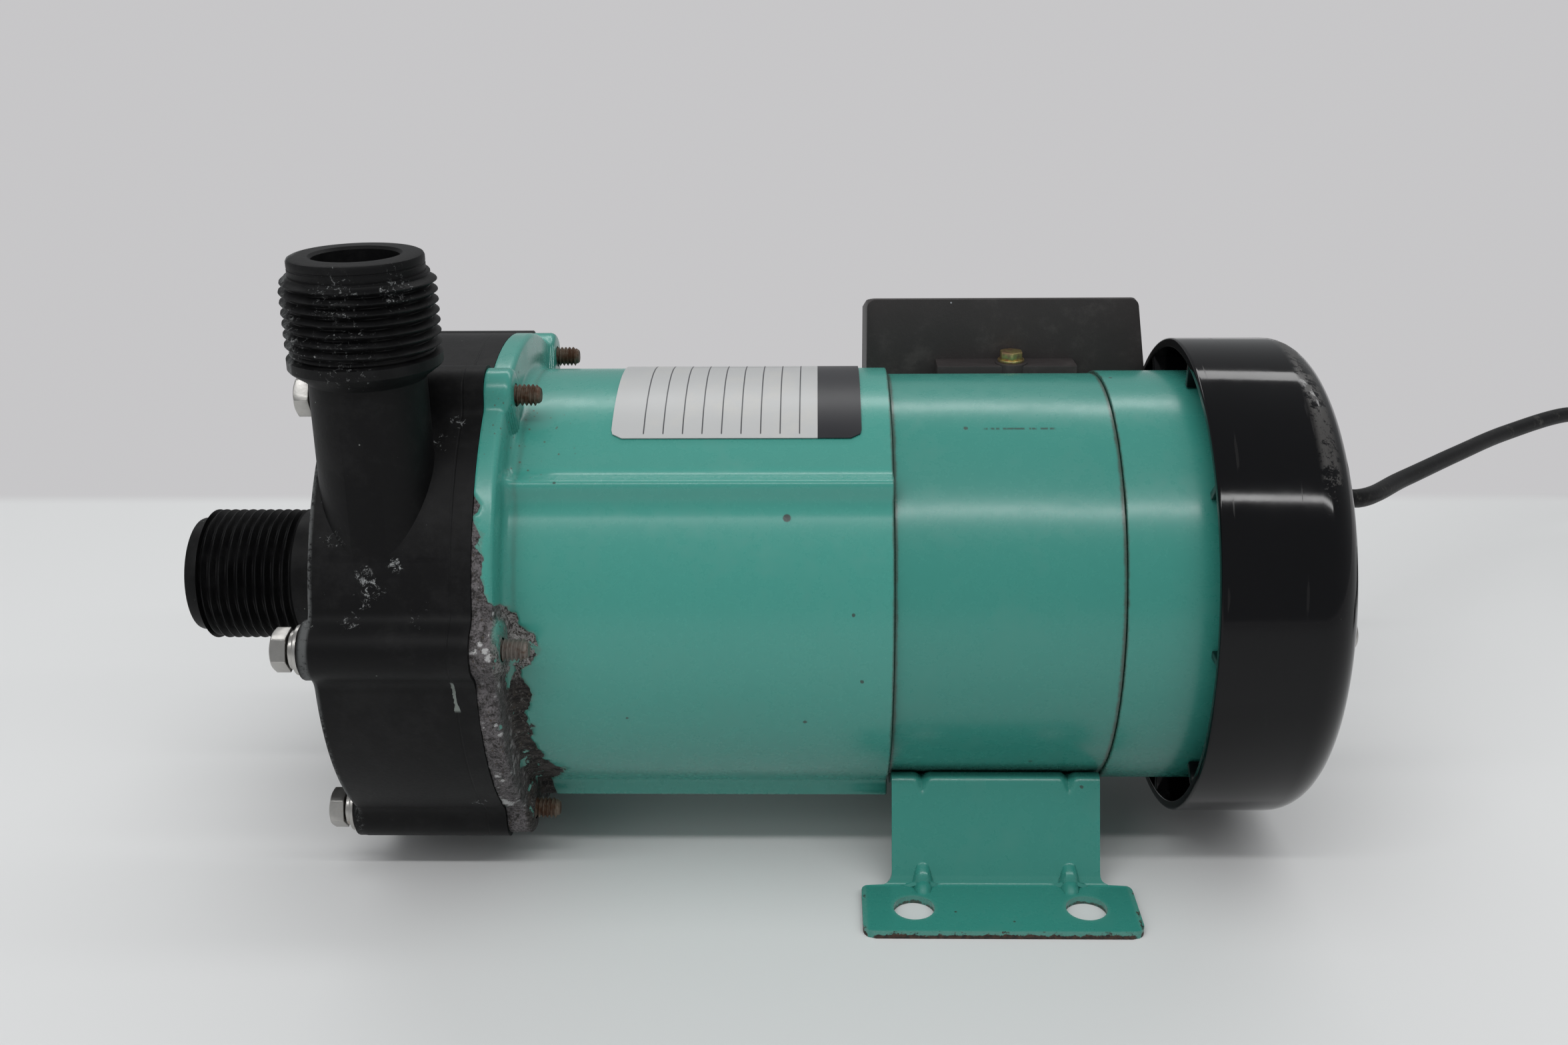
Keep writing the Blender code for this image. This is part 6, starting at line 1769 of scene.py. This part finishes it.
class PUMP_OT_foot(bpy.types.Operator):
    """Presses the hat-shaped foot with its gussets and holes"""

    bl_idname = "pump.foot"
    bl_label = "Pressed foot"

    COLUMNS = 150
    ROW_STEP = 0.00045
    HOLE_RADIUS = 0.0039
    WEB_HALF = 0.02015
    WEB_TOP = 0.0276
    WEB_FLARE = 0.0022
    FLARE_HEIGHT = 0.0030
    LOWER_BEND = 0.0018
    UPPER_BEND = 0.0012
    SADDLE_HALF = 0.0235
    SADDLE_STEPS = 8
    NUB_STATIONS = (-0.0142, 0.0142)
    NUB = (0.0349, 0.0012)
    NUB_REACH = 0.0045
    NUB_HEIGHT = 0.0015
    DENT = (0.0278, 0.0212)
    DENT_REACH = 0.0042
    DENT_DEPTH = 0.0013

    def execute(self, context):
        thick = context.scene.pump_sizes.foot_sheet
        low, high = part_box("base_foot")
        half_long = (high.x - low.x) / 2
        half_wide = (high.y - low.y) / 2
        path = self.path(thick, half_wide)
        last = len(path) - 1

        def shape(across, along):
            row = round((along + 1) / 2 * last)
            return self.place(path, row, across, thick, half_wide, half_long)

        foot = sheet("foot_pressing", self.COLUMNS, last, shape)
        foot.data.transform(Matrix.Translation((AXLE.x, AXLE.y, 0)))
        finish(foot, "SOLIDIFY", thickness=thick, offset=0.0, use_quality_normals=True)
        holes = []
        for x in (-FOOT_HOLES[0], FOOT_HOLES[0]):
            for y in (-FOOT_HOLES[1], FOOT_HOLES[1]):
                start = (AXLE.x + x, AXLE.y + y, -thick)
                end = (AXLE.x + x, AXLE.y + y, 2 * thick)
                holes.append(rod("foot_hole", start, end, self.HOLE_RADIUS, 48, Matrix()))
        cut(foot, joined(holes))
        bevel(foot, 0.00022, 2, 55)
        point_out(foot)
        smooth(foot, 40)
        dress(foot, "foot_paint", "foot_green", "base_foot")
        return {"FINISHED"}

    def path(self, thick, half_wide):
        """Rows of the sheet's middle line from the near edge over the saddle to the far edge."""
        saddle = HOUSING_RADIUS + GAP + thick / 2
        level = thick / 2
        top = AXLE.z - math.sqrt(saddle**2 - self.WEB_TOP**2)
        web = [
            (self.WEB_TOP, top, self.UPPER_BEND),
            (FOOT_BEND, level, self.LOWER_BEND),
            (half_wide, level, 0),
        ]
        arch = []
        for step in range(self.SADDLE_STEPS + 1):
            y = self.SADDLE_HALF * (2 * step / self.SADDLE_STEPS - 1)
            arch.append((y, AXLE.z - math.sqrt(saddle**2 - y**2), 0))
        corners = [(-y, z, radius) for y, z, radius in reversed(web)] + arch + web
        line = [Vector(p) for p in rounded(corners, 6, False)]
        rows = [line[0]]
        for start, end in zip(line, line[1:]):
            count = max(1, round((end - start).length / self.ROW_STEP))
            rows += [start.lerp(end, piece / count) for piece in range(1, count + 1)]
        return rows

    def place(self, path, row, share, thick, half_wide, half_long):
        """Where a point of the sheet lies, by its row and its share of the row's half length."""
        y, z = path[row]
        side = abs(y)
        rise = max(z - thick / 2, 0.0)
        if z > thick or side - FOOT_BEND < 0.0004:
            half = self.WEB_HALF + self.WEB_FLARE * max(0.0, 1 - rise / self.FLARE_HEIGHT) ** 3
        else:
            from_corner = max(FOOT_CORNER - (side - FOOT_BEND), FOOT_CORNER - (half_wide - side), 0.0)
            half = half_long - FOOT_CORNER + math.sqrt(max(FOOT_CORNER**2 - from_corner**2, 0.0))
        x = share * half
        along = (path[min(row + 1, len(path) - 1)] - path[max(row - 1, 0)]).normalized()
        bump = self.bump(x, side, z)
        return Vector((x, y - along.y * bump, z + along.x * bump))

    def bump(self, x, side, z):
        """How far the sheet is pressed out at its lower bends and dented at its upper ones."""
        low_bend = max(0.0, 1 - math.hypot(side - self.NUB[0], z - self.NUB[1]) / self.NUB_REACH)
        high_bend = max(0.0, 1 - math.hypot(side - self.DENT[0], z - self.DENT[1]) / self.DENT_REACH)
        height = 0.0
        for station in self.NUB_STATIONS:
            aside = abs(x - station)
            ridge = min(1.8 * max(0.0, 1 - aside / (0.0006 + 0.0011 * low_bend)), 1.0)
            dent = max(0.0, 1 - aside / (0.0006 + 0.0014 * high_bend))
            height += self.NUB_HEIGHT * ease(1.7 * low_bend) * ridge
            height -= self.DENT_DEPTH * ease(1.5 * high_bend) * dent
        return height


class PUMP_OT_terminal_box(bpy.types.Operator):
    """Moulds the terminal box with its lug and screw"""

    bl_idname = "pump.terminal_box"
    bl_label = "Terminal box"

    NEAR = BOX_LUG_NEAR + 0.0064
    WALL = 0.0022
    EDGE = 0.0009
    SLOPE = 0.0022
    SLOPE_HEIGHT = 0.0150
    FALL = math.radians(15)
    FALL_START = 0.0010
    LUG_START = BOX_FRONT + 0.0146
    LUG_END = LUG_START + 0.0294
    LUG_TOP = 0.0376
    LUG_HEIGHT = 0.0120
    BOSS_SIDE = BOX_LUG_NEAR + 0.0026
    BOSS_ENDS = (0.026, 0.0379)
    BOSS_RADIUS = 0.0034
    HOLE_ENDS = (0.028, 0.045)
    SHANK = 0.0015
    FLANGE = 0.0028
    HEAD_CORNER = 0.0026
    HEAD_HEIGHT = 0.0022

    def execute(self, context):
        near = self.NEAR
        wall = self.WALL
        corners = [
            (BOX_FRONT, BOX_BOTTOM, 0.0010),
            (BOX_REAR, BOX_BOTTOM, 0.0010),
            (BOX_REAR, BOX_TOP - self.SLOPE_HEIGHT, 0.0010),
            (BOX_REAR - self.SLOPE, BOX_TOP, 0.0019),
            (BOX_FRONT, BOX_TOP, 0.0019),
        ]
        outline = [Vector((a, near, b)) for a, b in rounded(corners, 6)]
        box = extruded("box_moulding", outline, (0, BOX_FAR - near, 0))
        cut(box, self.lid("lid", 0.0))
        bevel(box, self.EDGE, 3, 35)
        lug_low = (self.LUG_START, BOX_LUG_NEAR, self.LUG_TOP - self.LUG_HEIGHT)
        lug = block("lug", lug_low, (self.LUG_END, near + BEYOND, self.LUG_TOP))
        bevel(lug, 0.0003, 2)
        screw = middle("terminal_box_screw") - AXLE
        foot, top = ((screw.x, self.BOSS_SIDE, height) for height in self.BOSS_ENDS)
        boss = rod("boss", foot, top, self.BOSS_RADIUS, 40)
        bevel(boss, 0.0002, 2)
        weld(box, weld(lug, boss))
        inside = [Vector((a, near + wall, b)) for a, b in rounded(self.inset(corners), 4)]
        hollow = extruded("inside", inside, (0, BOX_FAR - near - 2 * wall, 0))
        cut(box, cut(hollow, self.lid("inner_lid", wall)))
        saddle = max(HOUSING_RADIUS, BODY_RADIUS, END_RADIUS) + GAP
        cut(box, rod("saddle", (BOX_FRONT - 2 * BEYOND, 0, 0), (BOX_REAR + 2 * BEYOND, 0, 0), saddle, 160))
        notch_low = (BOX_FRONT - BEYOND, BOX_LUG_NEAR - BEYOND, 0)
        cut(box, block("notch", notch_low, (BRACKET_REAR + GAP, UPPER_RIB[0] + GAP, UPPER_RIB[1] + GAP)))
        low, high = ((screw.x, screw.y, height) for height in self.HOLE_ENDS)
        cut(box, rod("screw_hole", low, high, SCREW_HOLE, 24))
        smooth(box)
        dress(box, "box_plastic", "box_black", "terminal_box")
        self.screw(screw)
        return {"FINISHED"}

    def lid(self, name, wall):
        """Block over the box's top, which falls towards the far side."""
        lid = block(name, (BOX_FRONT - 2 * BEYOND, 0, 0), (BOX_REAR + 2 * BEYOND, 0.07, 0.05), Matrix())
        hinge = Matrix.Translation((0, self.NEAR + self.FALL_START, BOX_TOP - wall / math.cos(self.FALL)))
        lid.data.transform(ON_SHAFT @ hinge @ Matrix.Rotation(-self.FALL, 4, "X"))
        return lid

    def inset(self, corners):
        """The outline's corners, moved in by the wall."""
        centre_x = (BOX_FRONT + BOX_REAR) / 2
        centre_z = (BOX_BOTTOM + BOX_TOP) / 2 - 0.0100
        moved = []
        for a, b, radius in corners:
            across = math.copysign(self.WALL, centre_x - a)
            up = math.copysign(self.WALL, centre_z - b)
            moved.append((a + across, b + up, radius))
        return moved

    def screw(self, centre):
        """Hexagon head screw with a washer face, yellow passivated."""
        low, top = reach("terminal_box_screw", 2)
        foot = top - self.HEAD_HEIGHT
        face = foot + 0.0005
        inside = foot + 0.0003
        upright = stood_up(centre.x, centre.y)
        corners = [
            (low, 0.0, 0),
            (low, self.SHANK, 0),
            (foot, self.SHANK, 0),
            (foot, self.FLANGE, 0.0001),
            (face, self.FLANGE, 0.0001),
            (face, 0.0020, 0),
            (face, 0.0, 0),
        ]
        base = lathed("box_screw", corners, 3, 40, upright)
        corner = self.HEAD_CORNER
        points = [Vector((inside, corner * math.cos(a), corner * math.sin(a))) for a in spaced(6)]
        head = extruded("hex", points, (top - inside, 0, 0), upright)
        bevel(head, 0.00025, 2, 25)
        weld(base, head)
        smooth(base)
        dress(base, "yellow_zinc", "yellow_zinc", "terminal_box_screw")


class PUMP_OT_plate(bpy.types.Operator):
    """Bends the blank plate round the bracket"""

    bl_idname = "pump.plate"
    bl_label = "Blank plate"

    FIRST = math.radians(58)
    LAST = math.radians(126)
    CELLS = 48
    FOIL = 0.00022

    def execute(self, context):
        corner = context.scene.pump_sizes.plate_corner
        low, high = reach("rating_plate", 0)
        radius = BODY_RADIUS + GAP / 2
        half_arc = (self.LAST - self.FIRST) * radius / 2

        def shape(across, along):
            up = along * half_arc
            edge = half_arc - abs(up)
            half = (high - low) / 2
            if edge < corner:
                half -= corner - math.sqrt(max(corner**2 - (corner - edge) ** 2, 0.0))
            angle = (self.FIRST + self.LAST) / 2 + up / radius
            return around(radius, angle, (low + high) / 2 + across * half)

        plate = sheet("plate_foil", self.CELLS, self.CELLS, shape)
        plate.data.transform(ON_SHAFT)
        finish(plate, "SOLIDIFY", thickness=self.FOIL, offset=1.0)
        point_out(plate)
        smooth(plate)
        dress(plate, "blank_plate", "blank_plate", "rating_plate")
        return {"FINISHED"}


class PUMP_OT_inside(bpy.types.Operator):
    """Gives the pieces inside the pump and the motor their finishes"""

    bl_idname = "pump.inside"
    bl_label = "Inner pieces"

    WEARS = {
        "casing_plastic": ("rear_casing", "impeller", "magnet_capsule"),
        "box_plastic": ("cooling_fan",),
        "relief_rubber": ("casing_o_ring",),
        "ceramic": ("spindle", "front_thrust_ring", "rear_thrust_ring", "mouth_ring", "terminal_block"),
        "carbon": ("impeller_bush",),
        "ferrite": ("driven_magnet", "drive_magnet"),
        "laminations": ("stator_core", "rotor_core"),
        "copper": ("front_winding", "rear_winding"),
        "drawn_can": ("run_capacitor",),
        "bright_steel": (
            "drive_yoke",
            "yoke_set_screw",
            "motor_shaft",
            "plug_pin_left",
            "plug_pin_right",
            "front_bearing_inner_ring",
            "front_bearing_balls",
            "front_bearing_outer_ring",
            "rear_bearing_inner_ring",
            "rear_bearing_balls",
            "rear_bearing_outer_ring",
        ),
    }

    def execute(self, context):
        for name, nodes in self.WEARS.items():
            for node in nodes:
                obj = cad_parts[node]
                obj.data.materials.clear()
                obj.data.materials.append(material(name))
        return {"FINISHED"}


# Lamps: name, place, length, width, power and whether they are seen in reflections
LAMPS = (
    ("front_tube", (0.10, -0.84, 1.24), 2.4, 0.075, 10.0, True),
    ("rear_tube", (0.10, 0.92, 1.19), 2.4, 0.18, 7.5, True),
    ("ceiling", (-0.10, -0.42, 1.58), 1.6, 1.3, 10.0, False),
    ("side", (-0.9, -1.1, 0.75), 0.9, 0.9, 3.5, False),
)
AMBIENT = (0.94, 0.96, 0.98, 1.0)
AMBIENT_STRENGTH = 0.34


class PUMP_OT_stage(bpy.types.Operator):
    """Sets the camera in the photograph's place over a plain pale floor in soft light"""

    bl_idname = "pump.stage"
    bl_label = "Camera and studio"

    def execute(self, context):
        scene = context.scene
        scene.view_settings.view_transform = "Standard"
        self.camera(scene)
        self.floor(scene)
        for lamp in LAMPS:
            self.strip(*lamp)
        self.world(scene)
        return {"FINISHED"}

    def camera(self, scene):
        bpy.ops.object.camera_add()
        camera = bpy.context.object
        camera.name = "camera"
        camera.data.lens = LENS
        camera.data.sensor_width = 36
        camera.data.clip_start = 0.01
        camera.data.clip_end = 30
        place = Matrix.Translation(Vector(CAMERA_PLACE) + Vector((AXLE.x, AXLE.y, 0)))
        aim = Matrix.Rotation(math.radians(-CAMERA_YAW), 4, "Z")
        aim @= Matrix.Rotation(math.radians(90 - CAMERA_PITCH), 4, "X")
        aim @= Matrix.Rotation(math.radians(CAMERA_ROLL), 4, "Z")
        camera.matrix_world = place @ aim
        scene.camera = camera

    def floor(self, scene):
        bpy.ops.object.select_all(action="DESELECT")
        bpy.ops.mesh.primitive_plane_add(size=30)
        floor = bpy.context.object
        floor.name = "floor"
        floor.data.transform(Matrix.Translation((0, 0, -0.00005)))
        pale = Finish("floor_pale", scene.pump_colours.floor, 0.5, shine=0.3)
        pale.mottle(pale.noise(0.35, detail=3.0), 0.02)
        pale.give()
        glow = pale.node("ShaderNodeEmission", {}, {"Color": (*WALL_COLOUR, 1.0)}, output="Emission")
        rays = [pale.node("ShaderNodeLightPath", output=name) for name in SEEN_BY]
        seen = rays[0].most(rays[1]).most(rays[2])
        away = pale.node("ShaderNodeVectorMath", {"operation": "LENGTH"}, {0: pale.where}, output="Value")
        far = pale.y.above(WALL_LINE, 0.012).most(away.above(1.1, 1.7)) * seen
        shader = Wire(pale, pale.shader.outputs["BSDF"])
        mixed = pale.node("ShaderNodeMixShader", {}, {0: far, 1: shader, 2: glow}, output="Shader")
        surface = pale.tree.nodes["Material Output"].inputs["Surface"]
        pale.tree.links.new(mixed.socket, surface)
        floor.data.materials.append(pale.material)

    def strip(self, name, place, long, wide, power, mirrored):
        """Rectangle of light aimed at the motor, with its long side level."""
        bpy.ops.object.light_add(type="AREA")
        lamp = bpy.context.object
        lamp.name = name
        lamp.data.shape = "RECTANGLE"
        lamp.data.size = long
        lamp.data.size_y = wide
        lamp.data.energy = power
        lamp.visible_glossy = mirrored
        place = Vector(place)
        away = place.normalized()
        across = Vector((1, 0, 0)).cross(away).normalized()
        side = across.cross(away)
        aim = Matrix((side, across, away)).transposed().to_4x4()
        lamp.matrix_world = Matrix.Translation(place + AXLE) @ aim

    def world(self, scene):
        """Dim and even for the object, pale for what looks straight at it."""
        world = bpy.data.worlds.new("studio")
        scene.world = world
        world.use_nodes = True
        nodes = world.node_tree.nodes
        links = world.node_tree.links
        ambient = nodes["Background"]
        ambient.inputs["Color"].default_value = AMBIENT
        ambient.inputs["Strength"].default_value = AMBIENT_STRENGTH
        wall = nodes.new("ShaderNodeBackground")
        wall.inputs["Color"].default_value = (*WALL_COLOUR, 1.0)
        path = nodes.new("ShaderNodeLightPath")
        mix = nodes.new("ShaderNodeMixShader")
        links.new(path.outputs["Is Camera Ray"], mix.inputs[0])
        links.new(ambient.outputs[0], mix.inputs[1])
        links.new(wall.outputs[0], mix.inputs[2])
        links.new(mix.outputs[0], nodes["World Output"].inputs["Surface"])


class PUMP_PT_panel(bpy.types.Panel):
    """Lists the pump's pieces and their sizes"""

    bl_label = "Magnetic drive pump"
    bl_idname = "PUMP_PT_panel"
    bl_space_type = "VIEW_3D"
    bl_region_type = "UI"
    bl_category = "Pump"

    def draw(self, context):
        for operator in OPERATORS:
            self.layout.operator(operator.bl_idname)
        for group in (context.scene.pump_sizes, context.scene.pump_colours):
            box = self.layout.box()
            for key in group.bl_rna.properties.keys():
                if key not in ("rna_type", "name"):
                    box.prop(group, key)


OPERATORS = (
    PUMP_OT_stage,
    PUMP_OT_lead,
    PUMP_OT_casing,
    PUMP_OT_bracket,
    PUMP_OT_motor,
    PUMP_OT_fan_cover,
    PUMP_OT_bolts,
    PUMP_OT_foot,
    PUMP_OT_terminal_box,
    PUMP_OT_plate,
    PUMP_OT_inside,
)
CLASSES = (PumpSizes, PumpColours, *OPERATORS, PUMP_PT_panel)


def register():
    for cls in CLASSES:
        bpy.utils.register_class(cls)
    bpy.types.Scene.pump_sizes = PointerProperty(type=PumpSizes)
    bpy.types.Scene.pump_colours = PointerProperty(type=PumpColours)


def unregister():
    del bpy.types.Scene.pump_colours
    del bpy.types.Scene.pump_sizes
    for cls in reversed(CLASSES):
        bpy.utils.unregister_class(cls)


def main():
    register()
    bpy.ops.pump.stage()
    bpy.ops.pump.lead()
    bpy.ops.pump.casing()
    bpy.ops.pump.bracket()
    bpy.ops.pump.motor()
    bpy.ops.pump.fan_cover()
    bpy.ops.pump.bolts()
    bpy.ops.pump.foot()
    bpy.ops.pump.terminal_box()
    bpy.ops.pump.plate()
    bpy.ops.pump.inside()


if __name__ == "__main__":
    main()
